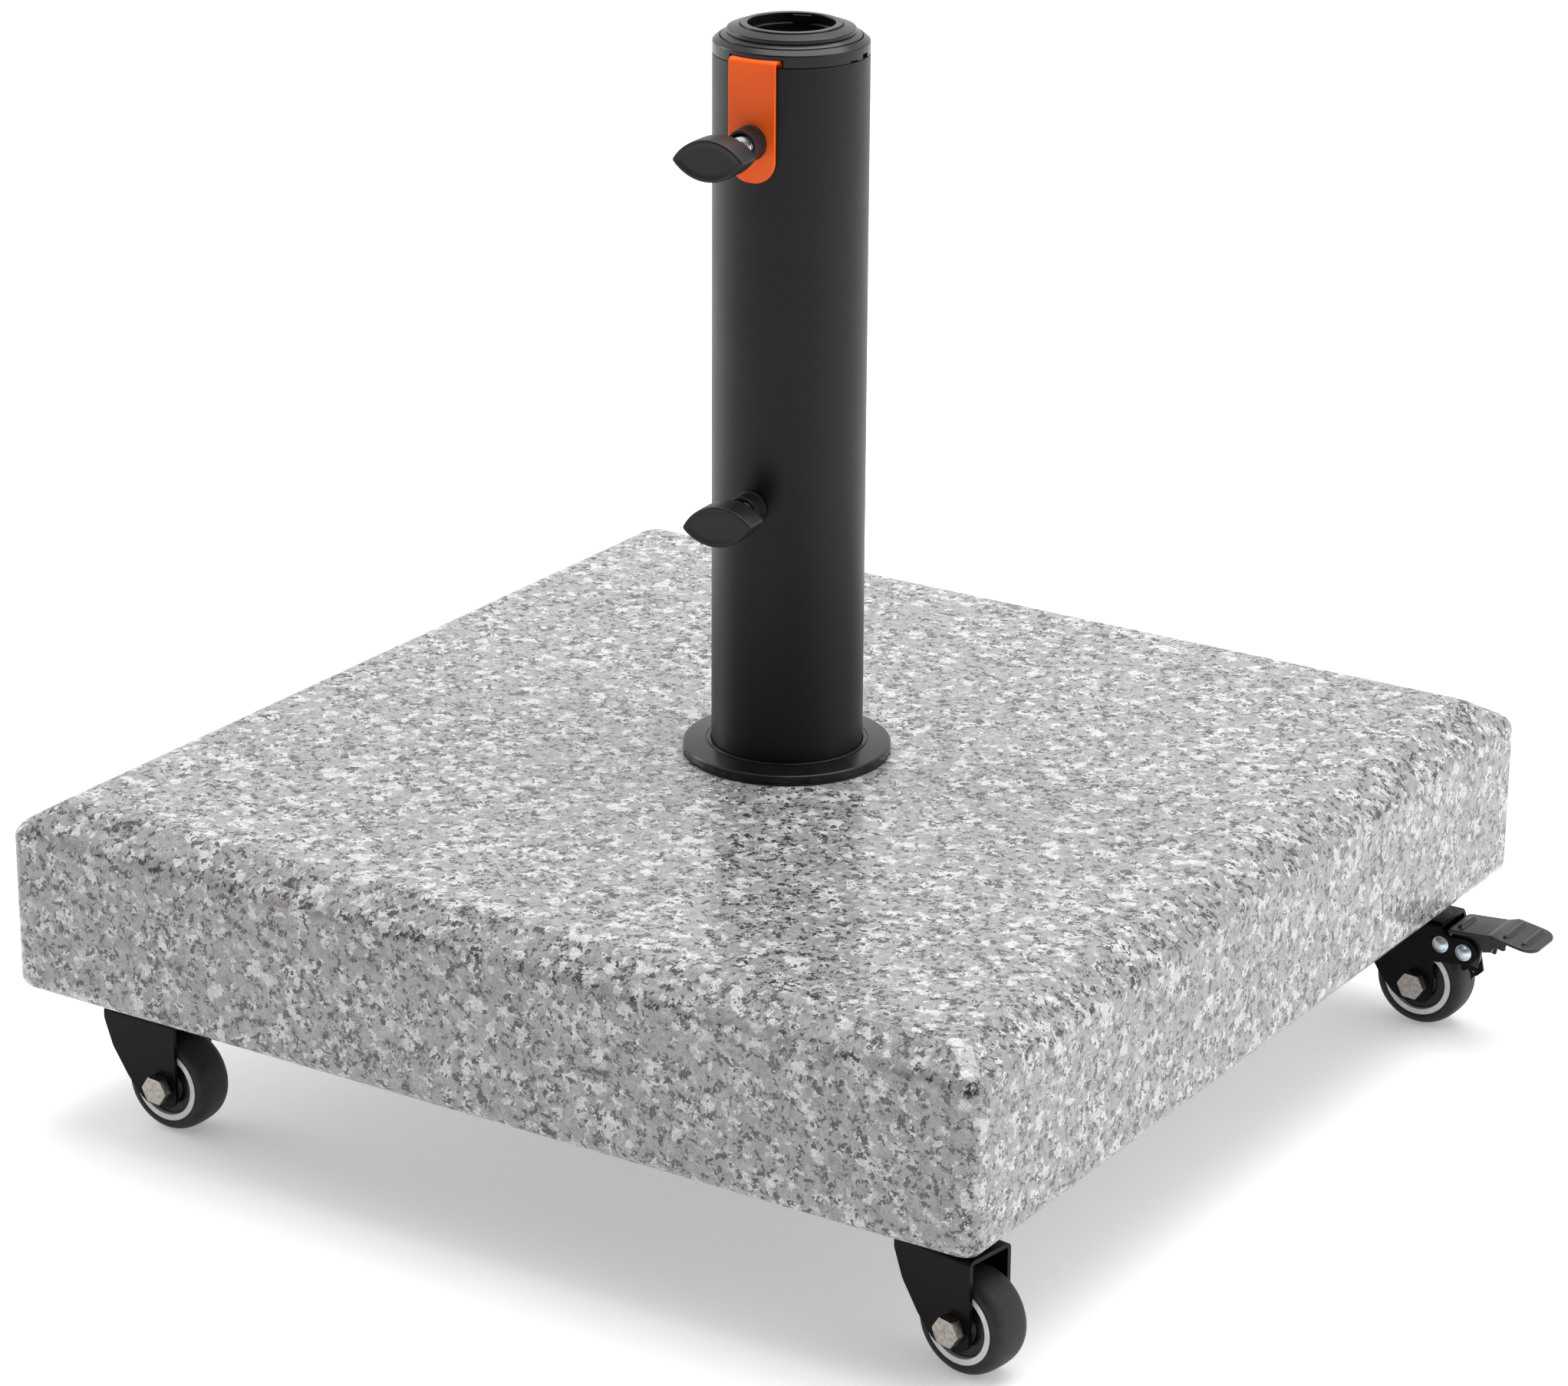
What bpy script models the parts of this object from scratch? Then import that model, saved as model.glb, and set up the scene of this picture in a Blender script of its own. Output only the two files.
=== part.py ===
"""Parasol base: a square granite slab on four swivel casters, with a steel column and two clamp screws.

The origin is on the floor under the slab's centre, +Z is up, and the clamp screws face about -Y.
Each caster is modelled in its own frame: origin on the floor under its kingpin, +X along its trail.
"""
import math

import bmesh
import bpy
from mathutils import Matrix

# Driving dimensions, in metres.
GAP = 0.0003

SLAB_SIDE = 0.550
SLAB_THICKNESS = 0.098
SLAB_UNDERSIDE = 0.0735
SLAB_TOP = SLAB_UNDERSIDE + SLAB_THICKNESS
CHAMFER_IN = 0.019
CHAMFER_DOWN = 0.012
CHAMFER_ROUNDING = 0.010
SLAB_CORNER_RADIUS = 0.007
SLAB_FOOT_RADIUS = 0.008
ANCHOR_HOLE_RADIUS = 0.0072
SEAT_RADIUS = 0.0528
SEAT_DEPTH = 0.0005
ANCHOR_WASHER = 0.0025
ANCHOR_HEAD = 0.0075
ANCHOR_TOP = SLAB_TOP + 0.0150

COLUMN_RADIUS = 0.038
COLUMN_WALL = 0.002
COLUMN_FOOT = SLAB_TOP + 0.0047
COLUMN_RIM = SLAB_TOP + 0.3571
CLAMP_TURN = math.radians(4.5)

CAP_SHOULDER = SLAB_TOP + 0.3631
CAP_TOP = SLAB_TOP + 0.3654
CAP_MOUTH_RADIUS = 0.0345
CAP_LEDGE = SLAB_TOP + 0.3612
CAP_SPIGOT_RADIUS = 0.0355
CAP_SPIGOT_BORE = 0.0331
CAP_SPIGOT_END = SLAB_TOP + 0.340
INSERT_TOP = SLAB_TOP + 0.3669
INSERT_RADIUS = 0.0341
INSERT_BORE = 0.0306

REDUCER_LARGE_TOP = SLAB_TOP + 0.3708
REDUCER_LARGE_SHOULDER = SLAB_TOP + 0.3691
REDUCER_LARGE_FLANGE = 0.03115
REDUCER_LARGE_SLEEVE = 0.0302
REDUCER_LARGE_BORE = 0.0241
REDUCER_LARGE_END = SLAB_TOP + 0.277
REDUCER_SEAT_RADIUS = 0.0249
REDUCER_SEAT = SLAB_TOP + 0.3688
REDUCER_SMALL_TOP = SLAB_TOP + 0.3715
REDUCER_SMALL_FLANGE = 0.0246
REDUCER_SMALL_SLEEVE = 0.0237
REDUCER_SMALL_MOUTH = 0.0212
REDUCER_SMALL_BORE = 0.0199
REDUCER_SMALL_STEP = 0.005
REDUCER_SMALL_END = SLAB_TOP + 0.285
SLIT_WIDTH = 0.003

TONGUE_WIDTH = 0.025
TONGUE_SHEET = 0.0017
TONGUE_OUTSIDE = 0.0400
TONGUE_INSIDE = 0.0317
TONGUE_TOP = SLAB_TOP + 0.3609
TONGUE_END = SLAB_TOP + 0.3012
TONGUE_INNER_END = SLAB_TOP + 0.300
TONGUE_BEND = 0.0024
TONGUE_ROUND_END = 0.0115
NOTCH_HALF_WIDTH = 0.0145
NOTCH_TOP = SLAB_TOP + 0.3613
LATCH_ANGLE = math.radians(96.0)
LATCH_HALF_WIDTH = 0.003
LATCH_HEIGHT = 0.0026

UPPER_SCREW_HEIGHT = SLAB_TOP + 0.3210
LOWER_SCREW_HEIGHT = SLAB_TOP + 0.1385
UPPER_KNOB_FACE = 0.0830
LOWER_KNOB_FACE = 0.0740
BUSH_SHANK_RADIUS = 0.0061
BUSH_COLLAR_RADIUS = 0.0086
BUSH_LENGTH = 0.0100
BUSH_BORE = 0.0053
BUSH_MOUTH_RADIUS = 0.0066
BUSH_MOUTH_DEPTH = 0.005
KNOB_HALF_LENGTH = 0.0193
KNOB_HALF_HEIGHT = 0.0104
KNOB_DEPTH = 0.0155
KNOB_NECK_RADIUS = 0.0072
KNOB_NECK_LENGTH = 0.0077
SCREW_RADIUS = 0.0049
SCREW_TIP = 0.044
PAD_RADIUS = 0.0033
PAD_LENGTH = 0.003

FOOT_RING_RADIUS = 0.0523
FOOT_RING_LINE = 0.0407
FOOT_PLATE_RADIUS = 0.046
FOOT_PLATE_TOP = SLAB_TOP + 0.0044
FOOT_BOSS_RADIUS = 0.012
FOOT_BOSS_TOP = SLAB_TOP + 0.0140
FOOT_PLATE_BORE = 0.0065
GASKET_TOP = SLAB_TOP + 0.0011
POLE_SEAT_RADIUS = 0.0356
POLE_SEAT_TOP = SLAB_TOP + 0.0064
GASKET_RADIUS = 0.0510

CASTER_PITCH = 0.231
TRAIL = 0.0208
WHEEL_RADIUS = 0.025
TYRE_HALF_WIDTH = 0.0112
RIM_RADIUS = 0.0187
RIM_INNER_RADIUS = 0.0157
FORK_WIDTH = 0.029
FORK_SHEET = 0.0022
FORK_TOP = 0.0612
FORK_REAR = -0.014
FORK_FRONT = 0.0303
FORK_RACE_RADIUS = 0.014
KINGPIN_RADIUS = 0.005
RACE_HEIGHT = 0.0022
PLATE_SIDE = 0.054
PLATE_SHEET = 0.0025
AXLE_RADIUS = 0.004
HEX_CORNER_RADIUS = 0.0075
BOLT_HEAD = 0.0053
NUT_HEIGHT = 0.0065

SHOE_PIVOT = (0.0344, 0.0502)
PEDAL_PIVOT = (0.0476, 0.0486)
LUG_RADIUS = 0.0070
PEDAL_HALF_WIDTH = 0.0155
PEDAL_TIP = 0.0869
PEDAL_SHEET = 0.0018
EAR_OUTER = 0.0117
EAR_INNER = 0.0099
SHOE_SHEET = 0.0016
SHOE_HALF_WIDTH = 0.0096
PIVOT_RIVET_RADIUS = 0.0020

COLUMN_SIDES = 32
TYRE_SIDES = 24
HUB_SIDES = 16
BOLT_SIDES = 12

# By corner of the slab: X side, Y side, the yaw of its caster, and whether it has a brake.
CASTERS = {
    "front_left": (-1, -1, 0.0, False),
    "front_right": (1, -1, math.radians(-8.7), False),
    "rear_right": (1, 1, 0.0, True),
    "rear_left": (-1, 1, math.pi, True),
}


def clear_scene():
    for item in list(bpy.data.objects):
        bpy.data.objects.remove(item, do_unlink=True)


def material(name, colour, roughness, metallic=0.0):
    made = bpy.data.materials.new(name)
    made.use_nodes = True
    shader = made.node_tree.nodes["Principled BSDF"]
    shader.inputs["Base Color"].default_value = (*colour, 1.0)
    shader.inputs["Roughness"].default_value = roughness
    shader.inputs["Metallic"].default_value = metallic
    return made


def empty(name, parent=None, location=(0, 0, 0), turn=0.0):
    made = bpy.data.objects.new(name, None)
    made.location = location
    made.rotation_euler = (0, 0, turn)
    made.parent = parent
    bpy.context.collection.objects.link(made)
    return made


def place(name, mesh, finish, parent=None, location=(0, 0, 0), tilt=0.0):
    """One object that shows a mesh; tilt turns it about its own Y axis."""
    if not mesh.materials:
        mesh.materials.append(finish)
    made = bpy.data.objects.new(name, mesh)
    made.location = location
    made.rotation_euler = (0, tilt, 0)
    made.parent = parent
    bpy.context.collection.objects.link(made)
    return made


# Outlines

def arc(centre, radius, start, end, steps):
    """Points on an arc, from the start angle to the end angle in degrees, ends included."""
    points = []
    for step in range(steps + 1):
        angle = math.radians(start + (end - start) * step / steps)
        points.append((centre[0] + radius * math.cos(angle), centre[1] + radius * math.sin(angle)))
    return points


def rounded(corners, radii, steps=3):
    """A closed outline with each corner rounded to its own radius; radius 0 keeps it sharp."""
    outline = []
    count = len(corners)
    for index, (corner, radius) in enumerate(zip(corners, radii)):
        if radius == 0:
            outline.append(corner)
            continue
        before = corners[index - 1]
        after = corners[(index + 1) % count]
        into = math.atan2(before[1] - corner[1], before[0] - corner[0])
        away = math.atan2(after[1] - corner[1], after[0] - corner[0])
        turn = (away - into + math.pi) % (2 * math.pi) - math.pi
        reach = radius / math.tan(abs(turn) / 2)
        to_centre = into + turn / 2
        distance = radius / math.sin(abs(turn) / 2)
        centre = (corner[0] + distance * math.cos(to_centre), corner[1] + distance * math.sin(to_centre))
        first = (corner[0] + reach * math.cos(into), corner[1] + reach * math.sin(into))
        start = math.degrees(math.atan2(first[1] - centre[1], first[0] - centre[0]))
        sweep = 180 - math.degrees(abs(turn))
        sign = -1 if turn > 0 else 1
        outline += arc(centre, radius, start, start + sign * sweep, steps)
    return outline


def rectangle(half_x, half_y, radius=0.0, steps=3):
    corners = [(-half_x, -half_y), (half_x, -half_y), (half_x, half_y), (-half_x, half_y)]
    return rounded(corners, [radius] * 4, steps)


# Meshes

def finish_mesh(shape, name, smooth_angle=35.0):
    bmesh.ops.remove_doubles(shape, verts=shape.verts, dist=1e-7)
    bmesh.ops.recalc_face_normals(shape, faces=shape.faces)
    mesh = bpy.data.meshes.new(name)
    shape.to_mesh(mesh)
    shape.free()
    mesh.shade_smooth()
    mesh.set_sharp_from_angle(angle=math.radians(smooth_angle))
    return mesh


def turned(name, profile, sides, axis="Z", flats=False):
    """A closed profile of (radius, height) points turned about an axis; radius 0 lies on the axis.

    With flats, the sides' middles are at the stated radii and one side faces straight down.
    """
    grow = 1 / math.cos(math.pi / sides) if flats else 1.0
    lead = 0.5 if flats else 0.0
    shape = bmesh.new()
    rings = []
    for radius, height in profile:
        if radius == 0:
            rings.append([shape.verts.new((0, 0, height))] * sides)
            continue
        ring = []
        for side in range(sides):
            angle = 2 * math.pi * (side + lead) / sides
            spot = (grow * radius * math.cos(angle), grow * radius * math.sin(angle), height)
            ring.append(shape.verts.new(spot))
        rings.append(ring)
    for index, ring in enumerate(rings):
        after = rings[(index + 1) % len(rings)]
        for side in range(sides):
            other = (side + 1) % sides
            corners = [ring[side], ring[other], after[other], after[side]]
            distinct = list(dict.fromkeys(corners))
            if len(distinct) > 2:
                shape.faces.new(distinct)
    if axis == "Y":
        # The profile's height runs towards -Y: outward on the clamp side, and on an axle's head side.
        bmesh.ops.transform(shape, matrix=Matrix.Rotation(math.pi / 2, 4, "X"), verts=shape.verts)
    return finish_mesh(shape, name)


def prism(name, outline, low, high, axis):
    """An outline in the plane across an axis, drawn out along that axis from low to high."""
    shape = bmesh.new()
    spots = {
        "X": lambda u, v, w: (w, u, v),
        "Y": lambda u, v, w: (u, w, v),
        "Z": lambda u, v, w: (u, v, w),
    }
    spot = spots[axis]
    bottom = [shape.verts.new(spot(u, v, low)) for u, v in outline]
    top = [shape.verts.new(spot(u, v, high)) for u, v in outline]
    shape.faces.new(bottom)
    shape.faces.new(top)
    for index in range(len(outline)):
        after = (index + 1) % len(outline)
        shape.faces.new([bottom[index], bottom[after], top[after], top[index]])
    return finish_mesh(shape, name)


def lofted(name, sections):
    """A closed solid through sections that all have the same number of points."""
    shape = bmesh.new()
    rings = [[shape.verts.new(spot) for spot in section] for section in sections]
    shape.faces.new(rings[0])
    shape.faces.new(rings[-1])
    for before, after in zip(rings, rings[1:]):
        for index in range(len(before)):
            other = (index + 1) % len(before)
            shape.faces.new([before[index], before[other], after[other], after[index]])
    return finish_mesh(shape, name)


def moved(mesh, offset=(0, 0, 0), turn=0.0):
    """The same mesh, turned about Z and then shifted."""
    mesh.transform(Matrix.Translation(offset) @ Matrix.Rotation(turn, 4, "Z"))
    return mesh


def combined(mesh, tool, operation):
    """A Boolean of two meshes, evaluated into a new mesh."""
    body = bpy.data.objects.new("body", mesh)
    cutter = bpy.data.objects.new("cutter", tool)
    for item in (body, cutter):
        bpy.context.collection.objects.link(item)
    step = body.modifiers.new("boolean", "BOOLEAN")
    step.operation = operation
    step.solver = "EXACT"
    step.object = cutter
    view = bpy.context.evaluated_depsgraph_get()
    result = bpy.data.meshes.new_from_object(body.evaluated_get(view))
    result.name = mesh.name
    for item in (body, cutter):
        bpy.data.objects.remove(item, do_unlink=True)
    return result


def cut(mesh, tool):
    return combined(mesh, tool, "DIFFERENCE")


def joined(mesh, other):
    return combined(mesh, other, "UNION")


def common(mesh, other):
    return combined(mesh, other, "INTERSECT")


def rod(name, radius, low, high, sides, axis="Z"):
    return turned(name, [(0, low), (radius, low), (radius, high), (0, high)], sides, axis)


def annulus(name, inner, outer, low, high, sides):
    return turned(name, [(inner, low), (outer, low), (outer, high), (inner, high)], sides)


# Slab and what holds the column down

def slab_profile():
    """Inset from the side and height, from the underside's edge round to the top's edge."""
    side = [(SLAB_FOOT_RADIUS, 0), (0, 0), (0, SLAB_THICKNESS - CHAMFER_DOWN)]
    top = [(CHAMFER_IN, SLAB_THICKNESS), (SLAB_SIDE / 2, SLAB_THICKNESS), (SLAB_SIDE / 2, 0)]
    radii = [0, SLAB_FOOT_RADIUS * 0.99, CHAMFER_ROUNDING, CHAMFER_ROUNDING, 0, 0]
    return rounded(side + top, radii)[:-2]


def granite_slab():
    """Stone block with a shallow round seat in its top for the column's foot, and a hole for its bolt."""
    sections = []
    for inset, height in slab_profile():
        half = SLAB_SIDE / 2 - inset
        outline = rectangle(half, half, SLAB_CORNER_RADIUS)
        sections.append([(x, y, SLAB_UNDERSIDE + height) for x, y in outline])
    mesh = lofted("granite_slab", sections)
    seat = SLAB_TOP - SEAT_DEPTH
    bore = turned("anchor_bore", [
        (0, SLAB_UNDERSIDE - 0.01), (ANCHOR_HOLE_RADIUS, SLAB_UNDERSIDE - 0.01), (ANCHOR_HOLE_RADIUS, seat),
        (SEAT_RADIUS, seat), (SEAT_RADIUS, SLAB_TOP + 0.01), (0, SLAB_TOP + 0.01),
    ], COLUMN_SIDES)
    return cut(mesh, bore)


def anchor_bolt():
    head_top = SLAB_UNDERSIDE - GAP - ANCHOR_WASHER - GAP
    head = rod("anchor_bolt", 0.011, head_top - ANCHOR_HEAD, head_top, 6)
    shank = rod("shank", 0.006, head_top - 0.001, ANCHOR_TOP, BOLT_SIDES)
    return joined(head, shank)


def anchor_washer():
    high = SLAB_UNDERSIDE - GAP
    return annulus("anchor_washer", 0.0066, 0.018, high - ANCHOR_WASHER, high, HUB_SIDES)


def foot_gasket():
    return annulus("foot_gasket", 0.009, GASKET_RADIUS, SLAB_TOP - SEAT_DEPTH + GAP, GASKET_TOP, COLUMN_SIDES)


def foot_plate():
    """Round steel plate with a raised pole seat inside the tube, and the boss that the bolt screws into."""
    low = GASKET_TOP + GAP
    return turned("foot_plate", [
        (FOOT_PLATE_BORE, low), (FOOT_PLATE_RADIUS, low), (FOOT_PLATE_RADIUS, FOOT_PLATE_TOP),
        (POLE_SEAT_RADIUS, FOOT_PLATE_TOP), (POLE_SEAT_RADIUS, POLE_SEAT_TOP),
        (FOOT_BOSS_RADIUS, POLE_SEAT_TOP), (FOOT_BOSS_RADIUS, FOOT_BOSS_TOP),
        (FOOT_PLATE_BORE, FOOT_BOSS_TOP),
    ], COLUMN_SIDES)


def cover_ring():
    """Plastic rosette over the foot plate: a low wall, a slightly conical top and a raised inner lip."""
    low = GASKET_TOP + GAP
    wall = FOOT_RING_RADIUS - 0.0018
    hollow = FOOT_PLATE_TOP + GAP + 0.0004
    lip = SLAB_TOP + 0.0071
    return turned("cover_ring", [
        (wall, low), (FOOT_RING_RADIUS, low), (FOOT_RING_RADIUS, SLAB_TOP + 0.0047),
        (FOOT_RING_RADIUS - 0.0006, SLAB_TOP + 0.0053), (FOOT_RING_LINE, SLAB_TOP + 0.0066),
        (FOOT_RING_LINE - 0.0004, lip), (COLUMN_RADIUS + GAP, lip),
        (COLUMN_RADIUS + GAP, hollow), (wall, hollow),
    ], COLUMN_SIDES)


# Column and its head

def column_tube():
    bore = COLUMN_RADIUS - COLUMN_WALL
    tube = annulus("column_tube", bore, COLUMN_RADIUS, COLUMN_FOOT, COLUMN_RIM, COLUMN_SIDES)
    for height in (UPPER_SCREW_HEIGHT, LOWER_SCREW_HEIGHT):
        hole = rod("hole", BUSH_SHANK_RADIUS + GAP, 0.020, 0.060, BOLT_SIDES, "Y")
        tube = cut(tube, moved(hole, (0, 0, height)))
    return tube


def top_cap():
    low = COLUMN_RIM + GAP
    cap = turned("top_cap", [
        (CAP_SPIGOT_BORE, CAP_SPIGOT_END), (CAP_SPIGOT_RADIUS, CAP_SPIGOT_END), (CAP_SPIGOT_RADIUS, low),
        (COLUMN_RADIUS, low), (COLUMN_RADIUS, CAP_SHOULDER), (CAP_MOUTH_RADIUS + 0.0006, CAP_TOP),
        (CAP_MOUTH_RADIUS, CAP_TOP - 0.0003), (CAP_MOUTH_RADIUS, CAP_LEDGE), (CAP_SPIGOT_BORE, CAP_LEDGE),
    ], COLUMN_SIDES)
    notch = prism("notch", rectangle(NOTCH_HALF_WIDTH, 0.012), CAP_SPIGOT_END - 0.01, NOTCH_TOP, "Z")
    cap = cut(cap, moved(notch, (0, -0.036, 0)))
    latch = prism("latch", rectangle(LATCH_HALF_WIDTH, 0.0026), low - 0.001, COLUMN_RIM + LATCH_HEIGHT, "Z")
    return cut(cap, moved(moved(latch, (0, -COLUMN_RADIUS, 0)), turn=LATCH_ANGLE))


def cap_insert():
    low = CAP_LEDGE + GAP
    return turned("cap_insert", [
        (INSERT_BORE, low), (INSERT_RADIUS, low), (INSERT_RADIUS, INSERT_TOP - 0.0012),
        (REDUCER_LARGE_FLANGE, INSERT_TOP), (INSERT_BORE, INSERT_TOP),
    ], COLUMN_SIDES)


def slit_sleeve(sleeve, low, high):
    """Two slits up a sleeve, so that the clamp can close it on the pole."""
    for turn in (0.0, math.pi):
        slit = prism("slit", rectangle(0.012, SLIT_WIDTH / 2), low - 0.005, high, "Z")
        sleeve = cut(sleeve, moved(moved(slit, (0.027, 0, 0)), turn=turn))
    return sleeve


def reducer_large():
    low = INSERT_TOP + GAP
    sleeve = turned("reducer_large", [
        (REDUCER_LARGE_BORE, REDUCER_LARGE_END), (REDUCER_LARGE_SLEEVE, REDUCER_LARGE_END),
        (REDUCER_LARGE_SLEEVE, low), (REDUCER_LARGE_FLANGE, low),
        (REDUCER_LARGE_FLANGE, REDUCER_LARGE_SHOULDER), (REDUCER_SEAT_RADIUS + 0.0005, REDUCER_LARGE_TOP),
        (REDUCER_SEAT_RADIUS, REDUCER_LARGE_TOP - 0.0003),
        (REDUCER_SEAT_RADIUS, REDUCER_SEAT), (REDUCER_LARGE_BORE, REDUCER_SEAT),
    ], COLUMN_SIDES)
    return slit_sleeve(sleeve, REDUCER_LARGE_END, CAP_LEDGE - 0.02)


def reducer_small():
    low = REDUCER_SEAT + GAP
    top = REDUCER_SMALL_TOP
    step = top - REDUCER_SMALL_STEP
    edge = 0.0005
    sleeve = turned("reducer_small", [
        (REDUCER_SMALL_BORE, REDUCER_SMALL_END), (REDUCER_SMALL_SLEEVE, REDUCER_SMALL_END),
        (REDUCER_SMALL_SLEEVE, low), (REDUCER_SMALL_FLANGE, low), (REDUCER_SMALL_FLANGE, top - edge),
        (REDUCER_SMALL_FLANGE - edge, top), (REDUCER_SMALL_MOUTH + edge, top),
        (REDUCER_SMALL_MOUTH, top - edge), (REDUCER_SMALL_MOUTH, step), (REDUCER_SMALL_BORE, step),
    ], COLUMN_SIDES)
    return slit_sleeve(sleeve, REDUCER_SMALL_END, CAP_LEDGE - 0.02)


def clamp_tongue():
    """A strip hooked over the rim: its outer leg round at the end, its inner leg behind the screw."""
    outer = [
        (-TONGUE_INSIDE, TONGUE_INNER_END), (-TONGUE_INSIDE, TONGUE_TOP),
        (-TONGUE_OUTSIDE, TONGUE_TOP), (-TONGUE_OUTSIDE, TONGUE_END),
    ]
    outer_leg, inner_leg = -TONGUE_OUTSIDE + TONGUE_SHEET, -TONGUE_INSIDE - TONGUE_SHEET
    inner = [
        (outer_leg, TONGUE_END), (outer_leg, TONGUE_TOP - TONGUE_SHEET),
        (inner_leg, TONGUE_TOP - TONGUE_SHEET), (inner_leg, TONGUE_INNER_END),
    ]
    inner_bend = TONGUE_BEND - TONGUE_SHEET
    radii = [0, TONGUE_BEND, TONGUE_BEND, 0, 0, inner_bend, inner_bend, 0]
    half = TONGUE_WIDTH / 2
    strip = prism("clamp_tongue", rounded(outer + inner, radii), -half, half, "X")
    front_view = rounded(
        [(-half, TONGUE_END), (half, TONGUE_END), (half, TONGUE_TOP), (-half, TONGUE_TOP)],
        [TONGUE_ROUND_END, TONGUE_ROUND_END, 0, 0], 6)
    round_top = TONGUE_END + TONGUE_ROUND_END
    waste = prism("waste", rectangle(half + 0.001, 0.003), TONGUE_END - 0.01, round_top, "Z")
    corners = cut(moved(waste, (0, -TONGUE_OUTSIDE, 0)), prism("front_view", front_view, -0.05, -0.03, "Y"))
    strip = cut(strip, corners)
    hole = rod("hole", BUSH_SHANK_RADIUS + GAP, 0.036, 0.044, BOLT_SIDES, "Y")
    return cut(strip, moved(hole, (0, 0, UPPER_SCREW_HEIGHT)))


def nut_bush(name, outside):
    """Threaded bush through the column's wall, with its collar outside; outside is the face it seats on."""
    inner_end = COLUMN_RADIUS - COLUMN_WALL + GAP
    seat = outside + GAP
    end = seat + BUSH_LENGTH
    return turned(name, [
        (BUSH_BORE, inner_end), (BUSH_SHANK_RADIUS, inner_end), (BUSH_SHANK_RADIUS, seat),
        (BUSH_COLLAR_RADIUS, seat), (BUSH_COLLAR_RADIUS, end - 0.0006), (BUSH_COLLAR_RADIUS - 0.0006, end),
        (BUSH_MOUTH_RADIUS, end), (BUSH_MOUTH_RADIUS, end - BUSH_MOUTH_DEPTH),
        (BUSH_BORE, end - BUSH_MOUTH_DEPTH - 0.0008),
    ], BOLT_SIDES, "Y")


# Hand screws, modelled with the knob's face at Y = 0 and the screw running to +Y

def knob():
    """Pointed oval grip with a round neck, bored for the screw."""
    length, height = KNOB_HALF_LENGTH, KNOB_HALF_HEIGHT
    radius = (length ** 2 + height ** 2) / (2 * height)
    half_angle = math.degrees(math.asin(length / radius))
    tip_trim = 4.0
    sweep = half_angle - tip_trim
    lower = arc((0, radius - height), radius, 270 - sweep, 270 + sweep, 6)
    upper = arc((0, height - radius), radius, 90 - sweep, 90 + sweep, 6)
    edge = 0.0012
    sections = []
    for depth, scale in ((0, 0.94), (edge, 1.0), (KNOB_DEPTH - edge, 1.0), (KNOB_DEPTH, 0.94)):
        sections.append([(x * scale, depth, z * scale) for x, z in lower + upper])
    grip = lofted("knob", sections)
    neck_end = KNOB_DEPTH + KNOB_NECK_LENGTH
    neck = rod("neck", KNOB_NECK_RADIUS, -neck_end, -KNOB_DEPTH + 0.002, BOLT_SIDES, "Y")
    bore = rod("bore", SCREW_RADIUS + GAP, -neck_end - 0.005, -0.005, BOLT_SIDES, "Y")
    return cut(joined(grip, neck), bore)


def hand_screw():
    profile = [
        (0, -SCREW_TIP), (SCREW_RADIUS - 0.001, -SCREW_TIP), (SCREW_RADIUS, -SCREW_TIP + 0.001),
        (SCREW_RADIUS, -0.0055), (0, -0.0055),
    ]
    return turned("hand_screw", profile, BOLT_SIDES, "Y")


def pressure_pad():
    start = SCREW_TIP + GAP
    end = start + PAD_LENGTH
    profile = [
        (0, -end), (PAD_RADIUS - 0.0006, -end), (PAD_RADIUS, -end + 0.0006),
        (PAD_RADIUS, -start), (0, -start),
    ]
    return turned("pressure_pad", profile, BOLT_SIDES, "Y")


# Casters

def caster_plate():
    """Mounting plate with the upper race and the kingpin, whose head holds the fork up."""
    high = SLAB_UNDERSIDE - GAP
    low = high - PLATE_SHEET
    plate = prism("caster_plate", rectangle(PLATE_SIDE / 2, PLATE_SIDE / 2, 0.005), low, high, "Z")
    head_top = FORK_TOP - FORK_SHEET - 0.0004
    pin = turned("kingpin", [
        (0, head_top - 0.0020), (0.0075, head_top - 0.0020), (0.0085, head_top - 0.0008),
        (0.0085, head_top),
        (KINGPIN_RADIUS, head_top), (KINGPIN_RADIUS, low - RACE_HEIGHT), (0.016, low - RACE_HEIGHT),
        (0.0175, low + 0.001), (0, low + 0.001),
    ], BOLT_SIDES)
    return joined(plate, pin)


def cheek_outline(braked):
    """Side view of the fork; a braked fork carries a lug forward for the two rivets."""
    rear = [
        (FORK_REAR, FORK_TOP), (FORK_REAR, 0.0545), (-0.0090, 0.0405), (0.0004, 0.0262), (0.0085, 0.0172),
    ]
    foot = arc((0.0140, 0.0205), 0.0058, 225, 270, 3) + arc((0.0245, 0.0205), 0.0058, 270, 360, 4)
    if not braked:
        return rear + foot + [(FORK_FRONT, FORK_TOP)]
    x, z = PEDAL_PIVOT
    lug = [(FORK_FRONT, 0.0395)] + arc((x, z), LUG_RADIUS, -96, 84, 8)
    return rear + foot + lug + [(0.0390, 0.0553), (0.0352, 0.0562), (0.0338, FORK_TOP)]


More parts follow.
